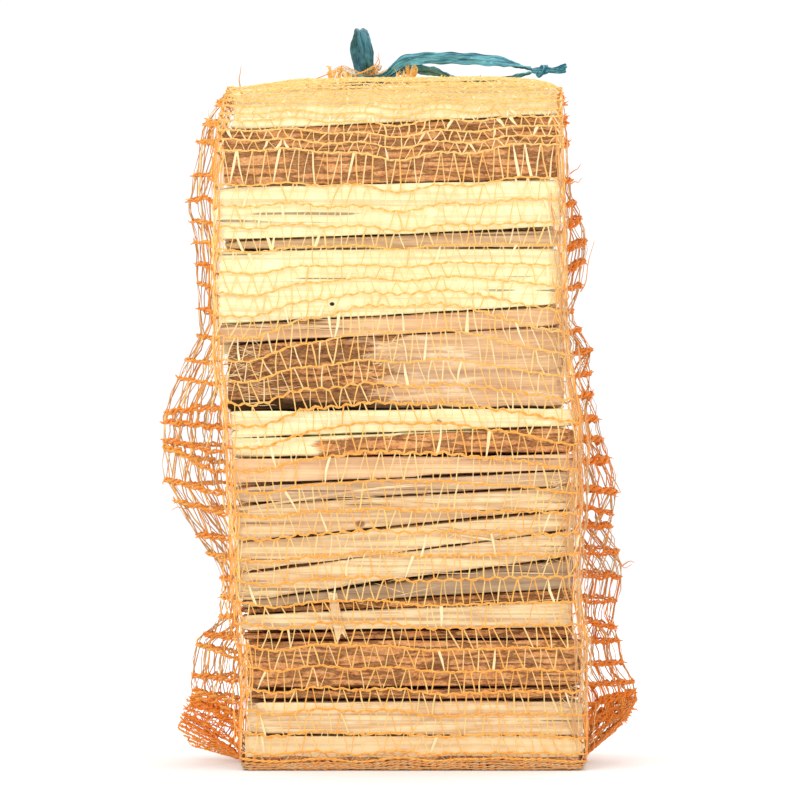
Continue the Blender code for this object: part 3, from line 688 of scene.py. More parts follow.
def strands(paths, outward, wide, thick, closed):
    """Yarns along paths, flat inside and ridged outside, three points at each station: points and faces."""
    paths_count, stations = paths.shape[:2]
    if closed:
        ahead = np.roll(paths, -1, axis=1) - np.roll(paths, 1, axis=1)
    else:
        ahead = np.gradient(paths, axis=1)
    ahead = unit(ahead)
    sideways = unit(np.cross(ahead, outward))
    outward = unit(np.cross(sideways, ahead))
    right = paths + sideways * wide[..., None]
    left = paths - sideways * wide[..., None]
    ridge = paths + outward * thick[..., None]
    points = np.stack([right, ridge, left], axis=2).reshape(-1, 3)
    index = np.arange(paths_count * stations).reshape(paths_count, stations)
    here = index if closed else index[:, :-1]
    there = np.roll(index, -1, axis=1) if closed else index[:, 1:]
    faces = []
    for low, high in ((0, 1), (1, 2), (2, 0)):
        quads = np.stack([here * 3 + low, there * 3 + low, there * 3 + high, here * 3 + high], axis=-1)
        faces += quads.reshape(-1, 4).tolist()
    if not closed:
        first, last = index[:, 0] * 3, index[:, -1] * 3
        faces += np.stack([first, first + 1, first + 2], axis=-1).tolist()
        faces += np.stack([last, last + 2, last + 1], axis=-1).tolist()
    return points, faces


class Bundle:
    """Yarns or slivers gathered into one mesh, with the tone of each point."""

    def __init__(self):
        self.points, self.faces, self.tones, self.total = [], [], [], 0

    def take(self, points, faces, tones):
        self.points.append(points)
        self.faces += [[corner + self.total for corner in face] for face in faces]
        self.tones.append(tones)
        self.total += len(points)

    def yarn(self, path, outward, wide, thick, tone=0.0):
        """Takes one yarn along a path, which faces one way and has one tone."""
        facing = np.tile(outward, (1, len(path), 1))
        points, faces = strands(path[None], facing, wide[None], thick[None], False)
        self.take(points, faces, np.full(len(points), tone))

    def mesh(self, name, finish):
        return new_piece(name, np.vstack(self.points) * MM, self.faces, finish)

    def piece(self, name, finish):
        made = self.mesh(name, finish)
        mark(made, "tone", np.concatenate(self.tones))
        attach(made, "root")
        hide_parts("net_sack")
        return made


# Heights of the crowded courses at the stack's foot and top, and how far past its top those of the frill lie, in mm.
FOOT_LEVELS = [-6.0, -4.0, -2.0, -0.5, 1.0, 2.6, 4.4, 6.6, 10.5]
TOP_LEVELS = [362, 368.5, 373.5, 378.5, 383, 387, 390, 392.5, 395, 397, 398.7, 400.2, 401.6]
FRILL_LEVELS = [71.5, 76.5, 83.0, 89.0]
BODY_FROM, BODY_TO, SHOULDER_PITCH = 21.5, 352, 8.0
# Where on the sack the knit changes, in mm up: the ears and the foot's tangle end, and the crowded top begins.
EAR_TOP, FOOT_TOP, CROWDED_FROM = 9, 12, 355
# The net is darker and a little thicker below this height, and fades to its plain tone above it.
DARKENING_TO, DARKENING_FADE = 225, 25


def course_levels(pitch):
    """Distances up the front at which the courses lie: crowded at both edges of the stack, and even between."""
    top = HALF_DEPTH + NET_TOP
    levels = list(np.arange(pitch / 2, HALF_DEPTH - 9, pitch))
    levels += list(HALF_DEPTH + np.array(FOOT_LEVELS))
    levels += list(np.arange(HALF_DEPTH + BODY_FROM, HALF_DEPTH + BODY_TO, pitch))
    levels += list(HALF_DEPTH + np.array(TOP_LEVELS))
    levels += list(np.arange(top + 6, top + 66, SHOULDER_PITCH))
    levels += list(top + np.array(FRILL_LEVELS))
    return np.array(levels)


def darkening_below(heights):
    """1 where the net is darker, and 0 where it has its plain tone."""
    return np.clip((DARKENING_TO - heights) / DARKENING_FADE, 0, 1)


# How far the courses are dragged up in the middle of the front, as (height, mm).
DRAG = [
    (0, 0), (60, -2), (110, 0), (150, 3), (168, 8), (190, 14), (208, 11), (222, 9), (248, 21), (268, 13), (285, 5),
    (305, 0), (335, -4), (362, -6), (380, -3), (402, 0),
]
# Where the crowded top courses spread to in the flaps, and how far the left flap hangs up: (height, mm).
FLAP_LADDER = np.array([351.0, 364.0, 377.0, 390.0])
LEFT_RAISE = [(240, 0), (290, 8), (350, 10), (388, 3), (402, 0)]
# How steeply the right flap's courses climb outwards: (height, slope).
RIGHT_RISE = [
    (0, 0.0), (60, -0.25), (110, -0.25), (150, 0.0), (200, 0.1), (240, 0.3), (330, 0.35), (370, 0.2), (402, 0.0),
]


def wander(rng, rows, places, waves=5):
    """Slow drift of each course up and down, alike in neighbouring courses, in units of about 1."""
    turn = np.arange(places) / places * 2 * math.pi
    drift = np.zeros((rows, places))
    for wave in range(1, waves * 4):
        phase = rng.uniform(0, 2 * math.pi) + np.cumsum(rng.normal(0, 0.4, rows))
        drift += (rng.uniform(0.3, 1.0) / wave**0.5) * np.sin(wave * turn[None, :] + phase[:, None])
    return drift / 1.8


class Courses:
    """Where each course of the knit runs, as its distance up the front at places round the sack."""

    samples = 6

    def __init__(self, sack, wales, pitch):
        rng = np.random.default_rng(COURSE_SEED)
        self.sack = sack
        self.levels = course_levels(pitch / MM)
        rows = len(self.levels)
        self.count = wales * self.samples
        self.legs = wales * 2
        self.places = np.arange(self.count) / self.count
        room = np.gradient(self.levels)[:, None]
        heights = self.levels - HALF_DEPTH
        # Each course drifts up and down, less where it has no room and outside the body.
        crowded = np.where((heights > CROWDED_FROM) & (heights < NET_TOP - 2), 0.7, 0.25)[:, None]
        crowded = np.where(np.abs(heights[:, None]) < EAR_TOP, 0.8, crowded)
        drift = wander(rng, rows, self.count) * np.minimum(2.8, crowded * room)
        on_body = (heights > -7) & (heights < NET_TOP)
        drift *= np.where(on_body, 1.0, 0.4)[:, None]
        drift[0] = 0
        # The middle of the front is dragged up over the sticks.
        level_of = np.broadcast_to(self.levels[:, None], drift.shape)
        spots = sack.read(sack.rings, level_of, self.places[None, :])
        front = spots[:, :, 1] < -HALF_DEPTH + 4
        middle = np.cos(np.clip((spots[:, :, 0] - 4.0) / 104.0, -1, 1) * math.pi / 2) ** 1.6
        drift += along(DRAG, heights)[:, None] * middle * front * on_body[:, None]
        # The stitches' zigzag, turned over from course to course.
        turned = np.where(np.arange(rows) % 2, 1, -1)[:, None]
        stitch = np.cos(2 * math.pi * wales * self.places)[None, :] * turned
        uneven = rng.uniform(0.5, 1.3, drift.shape) * rng.uniform(0.45, 1.15, (rows, 1))
        # In the flaps the crowded courses spread out to a ladder of a few, and each leans its own way.
        slack = sack.read(sack.slack, level_of, self.places[None, :])
        for _ in range(8):
            slack = 0.5 * slack + 0.25 * (np.roll(slack, 1, axis=1) + np.roll(slack, -1, axis=1))
        ladder = FLAP_LADDER[np.argmin(np.abs(heights[:, None] - FLAP_LADDER[None, :]), axis=1)]
        gather = np.where((heights > CROWDED_FROM) & (heights < NET_TOP), ladder - heights, 0.0)[:, None]
        raised = along(LEFT_RAISE, heights)[:, None] * (spots[:, :, 0] < 0)
        drift = drift * (1 + 0.5 * slack) + (gather + raised) * slack
        beyond = np.maximum(along(LEFT_CORNER, heights)[:, None] - spots[:, :, 0], 0)
        beyond_right = np.maximum(spots[:, :, 0] - along(RIGHT_CORNER, heights)[:, None], 0)
        behind = spots[:, :, 1] > 0
        rise = along(RIGHT_RISE, heights)[:, None]
        for reach, lean in ((beyond, 0.0), (beyond_right, rise)):
            slope = lean + rng.normal(0, 0.11, (rows, 1)) + rng.normal(0, 0.06, (rows, 1)) * behind
            drift += reach * slope * on_body[:, None] * (heights > FOOT_TOP)[:, None]
        # The foot's courses spread up the ears in a tangle.
        foot = np.abs(heights) < FOOT_TOP
        spread = np.zeros(rows)
        spread[foot] = np.linspace(-4, EAR_LIFT, foot.sum()) - heights[foot]
        tangle = wander(rng, rows, self.count, 12)[rng.permutation(rows)] * 4.2
        drift += (spread[:, None] + tangle) * slack * foot[:, None]
        drift += wander(rng, rows, self.count, 9) * 1.1 * foot[:, None] * (1 - slack)
        self.up = self.levels[:, None] + drift + stitch * uneven * np.minimum(0.7, 0.062 * room)

    def at(self, course, places):
        """How far up the front a course runs at places round the sack."""
        turned = np.concatenate([self.up[course], self.up[course][:1]])
        steps = np.linspace(0, 1, self.count + 1)
        return np.interp(places % 1.0, steps, turned)


def knit_courses(courses, bundle, chosen, strand, rng):
    """The courses: two strands, twisted together, looser and thicker in the flaps."""
    sack = courses.sack
    places = np.broadcast_to(courses.places, courses.up[chosen].shape)
    up = courses.up[chosen]
    middle = sack.read(sack.rings, up, places)
    outward = unit(sack.read(sack.outward, up, places))
    slack = sack.read(sack.slack, up, places)
    depth = sack.read(sack.depth, up, places)
    ahead = unit(np.roll(middle, -1, axis=1) - np.roll(middle, 1, axis=1))
    sideways = np.cross(ahead, outward)
    steps = np.linalg.norm(np.roll(middle, -1, axis=1) - middle, axis=2)
    tight = np.clip(steps / 2.0, 0.12, 1.0)
    heights = courses.levels[chosen] - HALF_DEPTH
    in_ear = (heights < EAR_TOP)[:, None] * slack
    body = strand * (1.12 + 0.95 * slack) * tight * (1 - 0.5 * in_ear)
    body *= 1 + 0.5 * slack * (middle[:, :, 0] > 0) * (heights > 150)[:, None]
    darkening = darkening_below(heights)[:, None]
    body *= 1 + 0.15 * darkening
    body *= rng.uniform(0.75, 1.3, body.shape)
    turns = np.cumsum(rng.uniform(0.7, 1.3, body.shape), axis=1)
    turns *= (2 * math.pi * np.round(turns[:, -1:] / 5.2)) / turns[:, -1:]
    for side in (0.0, math.pi):
        reach = body * (1.0 + 0.35 * slack)
        offset = sideways * (np.cos(turns + side) * reach)[..., None]
        offset += outward * (np.sin(turns + side) * reach * 0.7 + 0.25)[..., None]
        jitter = rng.normal(0, 0.10, middle.shape) * (0.4 + 2.0 * slack[..., None]) * tight[..., None]
        points, faces = strands(middle + offset + jitter, outward, body, body * 1.25, True)
        # Courses within 5 mm of the stack's foot are made dark tan: painted shade where the net turns under the stack.
        low = (np.abs(heights) < 5.0)[:, None]
        roof = (heights > CROWDED_FROM)[:, None]
        frill = (heights > NET_TOP + 70)[:, None]
        tone = 0.29 - 0.06 * roof + 0.10 * depth * (1 - slack) + 0.09 * slack + 0.60 * low * (1 - slack) - 0.16 * frill
        # The right flap is made darker: painted shade on the side away from the light.
        tone += 0.30 * slack * (middle[:, :, 0] > 0) + rng.uniform(-0.04, 0.10, (len(chosen), 1)) * slack
        tone += rng.normal(0, 0.035, slack.shape) * (1 + low) + 0.10 * low * slack
        tone += 0.06 * darkening * (1 - slack) * (1 - low)
        bundle.take(points, faces, np.repeat(tone.reshape(-1), 3))


def knit_tapes(courses, bundle, chosen, half_width, rng):
    """The thin tapes that lean to and fro between the courses, with a few broad ones among them, made pale as a painted
    glint.
    """
    sack = courses.sack
    legs = courses.legs
    lean = wander(rng, len(courses.levels), legs, 3)
    sway = wander(rng, len(courses.levels), legs, 4)
    for course in chosen:
        number = np.arange(legs)
        towards = np.where(number % 2 == 0, 1.0, -1.0)
        centre = (number + 0.5) / legs
        spots = sack.read(sack.slack, np.full(legs, courses.levels[course]), centre)
        share = np.clip(0.62 + 0.3 * lean[course], 0.1, 1.0) * (1 - 0.75 * np.clip(spots, 0, 1))
        tilt = 0.45 * sway[course] * (1 - spots)
        low_place = (number + 0.5 - 0.5 * share * towards - 0.5 * tilt + rng.normal(0, 0.13, legs)) / legs
        high_place = (number + 0.5 + 0.5 * share * towards + 0.5 * tilt + rng.normal(0, 0.13, legs)) / legs
        paired = (spots < 0.5) | (number % 2 == 0)
        add_tapes(courses, bundle, course, low_place[paired], high_place[paired], half_width, rng, False)
        loose = np.nonzero((spots > 0.5) & (number % 2 == 0))[0]
        for shift in (-0.5, 0.0, 0.45):
            aside = (loose + 0.5 + shift + rng.normal(0, 0.12, len(loose))) / legs
            lower = aside + rng.normal(0, 0.12, len(loose)) / legs
            add_tapes(courses, bundle, course, lower, aside, half_width, rng, True)


def add_tapes(courses, bundle, course, low_place, high_place, half_width, rng, threads):
    """Tapes from places on one course to places on the next."""
    sack = courses.sack
    legs = len(low_place)
    if not legs:
        return
    low, high = courses.at(course, low_place), courses.at(course + 1, high_place)
    share = np.array([0.0, 0.5, 1.0])[None, :]
    places = low_place[:, None] * (1 - share) + high_place[:, None] * share
    up = low[:, None] * (1 - share) + high[:, None] * share
    path = sack.read(sack.rings, up, places)
    outward = unit(sack.read(sack.outward, up, places))
    slack = sack.read(sack.slack, up, places)[:, 1]
    depth = sack.read(sack.depth, up, places)[:, 1]
    beside = sack.read(sack.rings, up[:, 1], places[:, 1] + 1.0 / courses.legs)
    pitch = np.linalg.norm(beside - path[:, 1], axis=1)
    kind, height = rng.uniform(0, 1, legs), path[:, 1, 2].copy()
    broad = (kind < np.where(height > DARKENING_TO, 0.10, 0.045)) & (slack < 0.3) & (not threads)
    column = (slack > 0.5) & (not threads)
    wide = half_width * rng.uniform(0.75, 1.5, legs)
    wide = np.where(broad, rng.uniform(0.42, 0.8, legs), wide)
    wide = np.where(column, rng.uniform(0.3, 0.65, legs), wide)
    wide = np.minimum(wide, 0.22 * pitch + 0.02)
    tone = rng.uniform(0.06, 0.30, legs) + 0.14 * depth + 0.07 * darkening_below(height)
    # The broad tapes are made pale: a painted glint.
    tone = np.where(broad, rng.uniform(0.0, 0.1, legs), tone)
    tone = np.where(column, np.where(rng.uniform(0, 1, legs) < 0.45, rng.uniform(0.08, 0.24, legs), 0.38), tone)
    tone = np.where(threads, rng.uniform(0.82, 1.0, legs), tone)
    tone = np.where((slack > 0.5) & (height < 42), rng.uniform(0.36, 0.6, legs), tone)
    # Tapes at the foot are made dark tan: painted shade where the net turns under the stack.
    tone = np.where((slack <= 0.5) & (height < EAR_TOP), rng.uniform(0.78, 1.0, legs), tone)
    # Tapes in the right flap are made darker tan: painted shade on the side away from the light.
    right_in_shade = (slack > 0.5) & (path[:, 1, 0] > 0)
    tone = np.where(right_in_shade & ~threads, np.where(tone < 0.3, rng.uniform(0.86, 1.0, legs), tone + 0.3), tone)
    path[:, 1] += outward[:, 1] * rng.normal(-0.1, 0.25, legs)[:, None]
    path[:, 1] += rng.normal(0, 0.45, (legs, 3)) * slack[:, None]
    path[:, 1, 0] += rng.normal(0, 0.3, legs)
    in_ear = (slack > 0.5) & (up[:, 1] < HALF_DEPTH + EAR_TOP)
    kept = rng.uniform(0, 1, legs) > np.where(in_ear, 0.72, 0.05)
    wide = np.repeat(wide[:, None], 3, axis=1) * rng.uniform(0.8, 1.2, (legs, 3))
    blade = np.where(rng.uniform(0, 1, legs)[:, None] < 0.5, [[1.25, 1.0, 0.35]], [[0.35, 1.0, 1.25]])
    wide *= np.where(broad[:, None], blade, 1.0)
    points, faces = strands(path[kept], outward[kept], wide[kept], np.minimum(wide[kept], 0.4), False)
    bundle.take(points, faces, np.repeat(tone[kept], 9))


# Stray yarns that stand off the sack, each a line of (x, y, z).
STRAYS = [
    [(101, 0, 349), (103.5, -1, 351), (105.5, -2, 352), (107.5, -2, 355)],
    [(101.5, 0, 343), (104, -1, 344.5), (106, -1, 344), (108, -1, 346.5)],
    [(107.5, 2, 279), (110.5, -1, 285), (112.0, -3, 297), (115.5, -4, 309)],
    [(119, 2, 187), (119.5, 0, 181), (126, -2, 175), (126, -2, 170)],
    [(126, 0, 169), (128, -1, 166), (130, -2, 162), (131.5, -2, 159)],
    [(123, -2, 158), (126, -3, 158.5), (128, -3, 157.6), (130, -3, 157)],
    [(127, -5, 126), (130, -6, 120), (133, -7, 115), (137.5, -7, 117)],
    [(132, -4, 116), (134.5, -5, 118), (137, -6, 119), (139, -6, 118)],
    [(-93, -66, 397), (-93.6, -66, 401), (-93, -66, 405), (-92.4, -66, 409)],
    [(-122, -2, 152), (-128, -2, 150), (-132, -2, 151), (-136, -2, 149)],
    [(-27, -14, 407), (-17, -15, 411), (-13, -15, 416), (-12.5, -15, 420)],
    [(-17, -12, 407), (-14, -14, 411), (-12, -15, 415), (-14, -15, 418)],
    [(-52, -10, 404), (-46, -10, 406.5), (-42, -10, 408), (-38, -10, 409)],
]


# At each corner: its line and its flap's, its side, how far out the folds lie below and above (mm), their counts
# there, and their tones; the right corner's darker tones are painted shade.
CORNER_FOLDS = [
    (LEFT_CORNER, LEFT_FLAP, -1, (-4.5, 2.5), (-1.2, 1.8), (44, 26), (0.22, 0.48)),
    (RIGHT_CORNER, RIGHT_FLAP, 1, (-8.0, 4.0), (-6.0, 1.0), (110, 46), (0.4, 1.0)),
]


def fold_corners(bundle, rng):
    """The net's folds along the stack's upright corners: bunched yarns that run up and down."""
    for corner, flap, away, below, above, counts, shades in CORNER_FOLDS:
        for number in range(sum(counts)):
            low = rng.uniform(4, 225)
            high = low + rng.uniform(18, 60)
            inner, outer = below
            if number >= counts[0]:
                low = rng.uniform(215, 360)
                high = min(386.0, low + rng.uniform(15, 50))
                inner, outer = above
            heights = np.arange(low, high, 2.5)
            share = np.linspace(0, 1, len(heights))
            turn = np.cumsum(rng.normal(0, 0.45, len(heights)))
            limit = np.abs(along(flap, heights) - along(corner, heights)) - 1.0
            drift = rng.normal(0, 3.0) * share + 1.6 * np.sin(turn)
            reach = np.clip(rng.uniform(inner, outer) + drift, inner - 2.0, limit)
            lies_back = np.clip(reach, 0, 3.0) * rng.uniform(0.3, 4.0)
            if number % 4 == 3:
                reach, lies_back = np.clip(reach, -3.5, 0.0), rng.uniform(5, 14)
            depth = -HALF_DEPTH - 0.5 + 0.4 * np.cos(turn) + lies_back
            path = np.stack([along(corner, heights) + away * reach, depth, heights], axis=1)
            taper = np.clip(5 * np.minimum(share, 1 - share), 0.15, 1.0)
            wide = rng.uniform(0.16, 0.48) * (taper * rng.uniform(0.7, 1.3, len(heights)))
            shade = rng.uniform(*shades)
            # At the right corner the folds are kept dark tan: painted shade.
            if away > 0 and 0.45 < shade < 0.82:
                shade = rng.uniform(0.84, 1.0)
            bundle.yarn(path, (0.35 * away, -1.0, 0.0), wide, wide * 0.8, shade)


# Tufts where the neck's gathers stick up: (x, y, z, spread, height, count), in mm.
TUFTS = [
    (-39.5, -4, 404.5, 1.2, 8.5, 11), (-32.0, -6, 403.5, 1.8, 5.5, 12), (-28.5, -8, 403.5, 1.6, 3.5, 6),
    (5.0, -22, 404.0, 1.3, 9.5, 14), (0.0, -24, 404.0, 1.0, 5.5, 6), (-55.0, -30, 402.0, 2.0, 2.6, 6),
    (-8.0, -20, 403.5, 2.0, 2.5, 8), (-34.0, 4.0, 407.0, 3.0, 3.5, 8), (30.0, -40, 403.0, 9.0, 2.0, 12),
]


def knit_tufts(courses, rng):
    """Knots and loose ends where the courses turn on the rims of the flaps, and stray yarns."""
    sack, bundle = courses.sack, Bundle()
    fold_corners(bundle, rng)
    for stray in STRAYS:
        path = smooth_route([(*point, 0.0) for point in stray], 4)[:, :3] / MM
        wide = np.linspace(0.42, 0.15, len(path))
        bundle.yarn(path, (0.0, -1.0, 0.2), wide, wide, rng.choice([0.4, 0.6, 0.9]))
    half_way_up = sack.rings[40, :, 0]
    rims = [np.argmax(half_way_up) / sack.count, np.argmin(half_way_up) / sack.count]
    nearby = np.linspace(-0.02, 0.02, 9)
    for course, level in enumerate(courses.levels):
        if not HALF_DEPTH - 30 < level < HALF_DEPTH + NET_TOP - 6:
            continue
        for place in rims:
            seen = sack.read(sack.rings, np.full(len(nearby), level), place + nearby)
            tip = place + nearby[np.argmax(np.abs(seen[:, 0]))]
            for _ in range(rng.integers(3, 7)):
                start = tip + rng.normal(0, 0.005)
                base = sack.read(sack.rings, courses.at(course, np.array([start])), np.array([start]))[0]
                away = np.array([math.copysign(1.0, base[0]), rng.normal(0, 0.5), rng.normal(0.1, 0.7)])
                length = rng.uniform(1.2, 3.6)
                path = [base + away / np.linalg.norm(away) * length * share for share in (0, 0.4, 0.75, 1.0)]
                path = np.array(path) + rng.normal(0, 0.35, (4, 3)) * np.array([0, 0.6, 1, 1])[:, None]
                wide = np.array([0.6, 0.5, 0.35, 0.12]) * rng.uniform(0.6, 1.2)
                # Loose ends on the right rim are made darker: painted shade.
                bundle.yarn(path, TOWARDS_VIEWER, wide, wide, rng.uniform(0.38, 0.5) + 0.3 * (base[0] > 0))
    for x, y, z, spread, height, count in TUFTS:
        for _ in range(count):
            base = np.array([x, y, z]) + rng.normal(0, 1, 3) * np.array([spread, spread, 0.4])
            tip = base + np.array([rng.normal(0, 0.3 * height), rng.normal(0, 1.0), height * rng.uniform(0.5, 1.1)])
            bend = (base + tip) / 2 + rng.normal(0, 0.16 * height, 3)
            route = [(*point, 0.0) for point in (base, bend, tip)]
            path = smooth_route(route, 4)[:, :3] / MM
            wide = np.interp(np.linspace(0, 1, len(path)), [0, 0.5, 1], [0.7, 0.75, 0.15]) * rng.uniform(0.5, 1.2)
            bundle.yarn(path, TOWARDS_VIEWER, wide, wide * 0.5, rng.uniform(0.10, 0.40))
    return bundle


# Wood.

# The fifteenth front stick takes a darker copy of the grey wood, as painted shade for a stick that lies in shadow.
FRONT_FINISHES = [
    "pale", "bark", "pale", "grey", "pale", "rose", "half_barked", "pale", "wedge", "rose", "grey",
    "straw", "straw", "straw", "grey_in_shade", "bark", "straw", "bark", "bark", "bark", "straw", "foot",
]
HIDDEN_FINISHES = ["pale", "grey", "straw", "rose", "pale", "bark"]
FINISH_NAMES = {
    "pale": "pale_split", "straw": "straw_split", "rose": "rose_split", "grey": "grey_split", "grey_in_shade": "grey_in_shade_split",
    "bark": "flaked_bark", "half_barked": "half_barked_split",
    "wedge": "wedge_barked_split", "foot": "foot_bark_shade_split",
}
# Which hidden finish each column starts with, and the step from stick to stick.
BACK_START, MIDDLE_START, HIDDEN_STEP = 13, 18, 5
SPLINTER_GRID, MERGE_WITHIN = 0.00035, 1e-6
# Right of this the half barked stick is torn open, and its relief is weaker by this share.
TORN_RELIEF_X, TORN_RELIEF = -0.015, 0.3
# Slivers on the front: (left, right, lowest, highest, y, count, longest, lean), in mm.
SLIVERS = [
    (-104, -82, 222, 252, -75.2, 46, 16, 0.35),
    (-100, -60, 210, 226, -75.0, 22, 22, 0.15),
    (-20, 2, 218, 252, -75.0, 26, 12, 0.5),
    (78, 96, 214, 252, -75.2, 26, 14, 0.35),
    (86, 100, 155, 172, -75.2, 22, 13, 0.3),
    (80, 98, 118, 136, -75.2, 18, 12, 0.3),
    (20, 60, 131, 140, -75.2, 14, 18, 0.3),
    (-96, -84, 100, 120, -75.2, 14, 12, 0.5),
    (92, 104, 22, 50, -75.2, 24, 9, 0.4),
    (-80, 80, 150, 160, -75.2, 10, 60, 0.10),
    (-60, 90, 96, 122, -75.2, 12, 50, 0.12),
    (-80, 90, 255, 262, -75.4, 14, 70, 0.05),
]
SLIVER_STATIONS = 6
STACK_X = (-108.0, 106.0)
# Long slivers, each split from a stick: its points, in mm, and half its width.
LONG_SLIVERS = [
    ([(-94, -75.6, 151.5), (-60, -75.9, 156.5), (-20, -76.0, 162.5), (10, -75.9, 166.0)], 0.75),
    ([(-20, -75.8, 162.8), (20, -75.9, 165.5), (55, -75.8, 167.0), (92, -75.6, 168.6)], 0.45),
    ([(30, -75.6, 137.0), (52, -75.9, 133.5), (66, -76.0, 131.5), (76, -75.8, 128.8)], 0.5),
]


def displace(piece, name, size, strength, middle, depth, group=""):
    """Presses a clouded pattern into a piece, or into one group of its points."""
    texture = bpy.data.textures.new(f"{piece.name}_{name}", "CLOUDS")
    texture.noise_scale = size
    texture.noise_depth = depth
    pressed = piece.modifiers.new(name, "DISPLACE")
    pressed.texture = texture
    pressed.texture_coords = "LOCAL"
    pressed.direction = "NORMAL"
    pressed.mid_level = middle
    pressed.strength = strength
    pressed.vertex_group = group
    bpy.ops.object.modifier_apply(modifier=name)
    bpy.data.textures.remove(texture)


def remeshed(node, name, finish, grid, draw=1.0):
    """A copy of a CAD node in an even mesh, made with its length drawn in so that the mesh is long on it."""
    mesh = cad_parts[node].data.copy()
    piece = bpy.data.objects.new(name, mesh)
    bpy.context.scene.collection.objects.link(piece)
    only(piece)
    mesh.materials.clear()
    mesh.materials.append(bpy.data.materials[FINISH_NAMES[finish]])
    bpy.ops.object.mode_set(mode="EDIT")
    bpy.ops.mesh.select_all(action="SELECT")
    bpy.ops.mesh.remove_doubles(threshold=MERGE_WITHIN)
    bpy.ops.object.mode_set(mode="OBJECT")
    mesh.transform(Matrix.Diagonal((1 / draw, 1, 1, 1)))
    remesh = piece.modifiers.new("remesh", "REMESH")
    remesh.mode = "VOXEL"
    remesh.voxel_size = grid
    bpy.ops.object.modifier_apply(modifier="remesh")
    return piece


def rough_stick(node, finish, grid, wood):
    """A stick with the split grain of real wood."""
    piece = remeshed(node, node.replace("stick", "wood"), finish, grid, wood.grain_draw)
    mesh = piece.data
    normals = np.zeros(len(mesh.vertices) * 3, np.float32)
    mesh.vertices.foreach_get("normal", normals)
    normals = normals.reshape(-1, 3)
    normals[:, 0] /= wood.grain_draw
    normals = unit(normals)
    on_end = np.abs(normals[:, 0]) > 0.5
    sides = piece.vertex_groups.new(name="sides")
    sides.add([int(index) for index in np.nonzero(~on_end)[0]], 1.0, "REPLACE")
    displace(piece, "wobble", size=0.014, strength=0.0022, middle=0.60, depth=1, group="sides")
    if finish in ("bark", "half_barked"):
        rough = piece.vertex_groups.new(name="rough")
        for vertex in mesh.vertices:
            torn = finish == "half_barked" and vertex.co.x * wood.grain_draw >= TORN_RELIEF_X
            if not on_end[vertex.index]:
                rough.add([vertex.index], TORN_RELIEF if torn else 1.0, "REPLACE")
        displace(piece, "fissures", size=0.0042, strength=wood.bark_depth, middle=0.57, depth=3, group="rough")
    else:
        displace(piece, "grain", size=0.0030, strength=wood.grain_depth, middle=0.57, depth=3, group="sides")
    mesh = piece.data
    mesh.transform(Matrix.Diagonal((wood.grain_draw, 1, 1, 1)))
    mark(piece, "tint", np.full(len(mesh.vertices), tint_of(node)))
    mark(piece, "end", on_end.astype(float))
    bpy.ops.object.shade_smooth_by_angle(angle=SMOOTH_WOOD)
    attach(piece, "root")
    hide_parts(node)


def tint_of(node):
    """A stick's own share of tint, from 0 to 1, the same in each run."""
    number = sum(ord(letter) * (place + 3) for place, letter in enumerate(node))
    return (number * 0.6180339) % 1.0


# Drawstring.


def taped(name, route, across, settings, curl=0.0, twist=None, folds=1.0, shade=0.0):
    """A crumpled tape along a route: two layers, pleated, with its edges curled."""
    rows = smooth_route(route, 8)
    points, half = rows[:, :3], rows[:, 3]
    ahead = unit(np.gradient(points, axis=0))
    thick = unit(np.cross(ahead, np.asarray(across, float)[None, :]))
    wide = unit(np.cross(thick, ahead))
    if twist is not None:
        turn = np.interp(np.linspace(0, 1, len(points)), *zip(*twist))[:, None]
        thick, wide = thick * np.cos(turn) + wide * np.sin(turn), wide * np.cos(turn) - thick * np.sin(turn)
    lengths = np.concatenate([[0], np.cumsum(np.linalg.norm(np.diff(points, axis=0), axis=1))])
    shares = np.linspace(-1, 1, TAPE_STEPS)
    layer = settings.thickness / 2
    grid = []
    for side in (1, -1):
        for share in shares[::side]:
            crumple = 0.35 * np.sin(lengths * 620 + share * 2.1) + 0.25 * np.sin(lengths * 1370 - share * 3.3)
            pleat = np.sin(share * (5.4 + 1.4 * np.sin(lengths * 150)) + 0.6 + 0.9 * np.sin(lengths * 95))
            height = side * (1.0 - 0.75 * abs(share) ** 3) + folds * (0.6 * pleat + 0.8 * crumple) + curl * share**2
            reach = half * share * (1.0 + 0.09 * abs(share) * np.sin(lengths * 430 + 2.0 * np.sign(share)))
            grid.append(points + wide * reach[:, None] + thick * (layer * height)[:, None])
    grid = np.stack(grid, axis=1)
    around = grid.shape[1]
    index = np.arange(len(points) * around).reshape(len(points), around)
    after = np.roll(index, -1, axis=1)
    quads = np.stack([index[:-1], after[:-1], after[1:], index[1:]], axis=-1).reshape(-1, 4).tolist()
    faces = quads + [index[0][::-1].tolist(), index[-1].tolist()]
    piece = new_piece(name, grid.reshape(-1, 3), faces, bpy.data.materials["satin_tape"])
    layer_uv = piece.data.uv_layers.new(name="tape")
    across_uv = np.concatenate([shares, shares[::-1]]) * TAPE_WIDTH / 2
    for loop, corner in enumerate([vertex for face in faces for vertex in face]):
        row, column = divmod(corner, around)
        layer_uv.data[loop].uv = (lengths[row], across_uv[column])
    # Its tone is the share of painted shade that the satin finish gives it.
    mark(piece, "tone", np.full(len(piece.data.vertices), shade))
    only(piece)
    bpy.ops.object.mode_set(mode="EDIT")
    bpy.ops.mesh.select_all(action="SELECT")
    bpy.ops.mesh.normals_make_consistent(inside=False)
    bpy.ops.object.mode_set(mode="OBJECT")
    bpy.ops.object.shade_smooth_by_angle(angle=SMOOTH_TAPE)
    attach(piece, "root")
    return piece, points, float(lengths[-1])


# The pieces' operators.


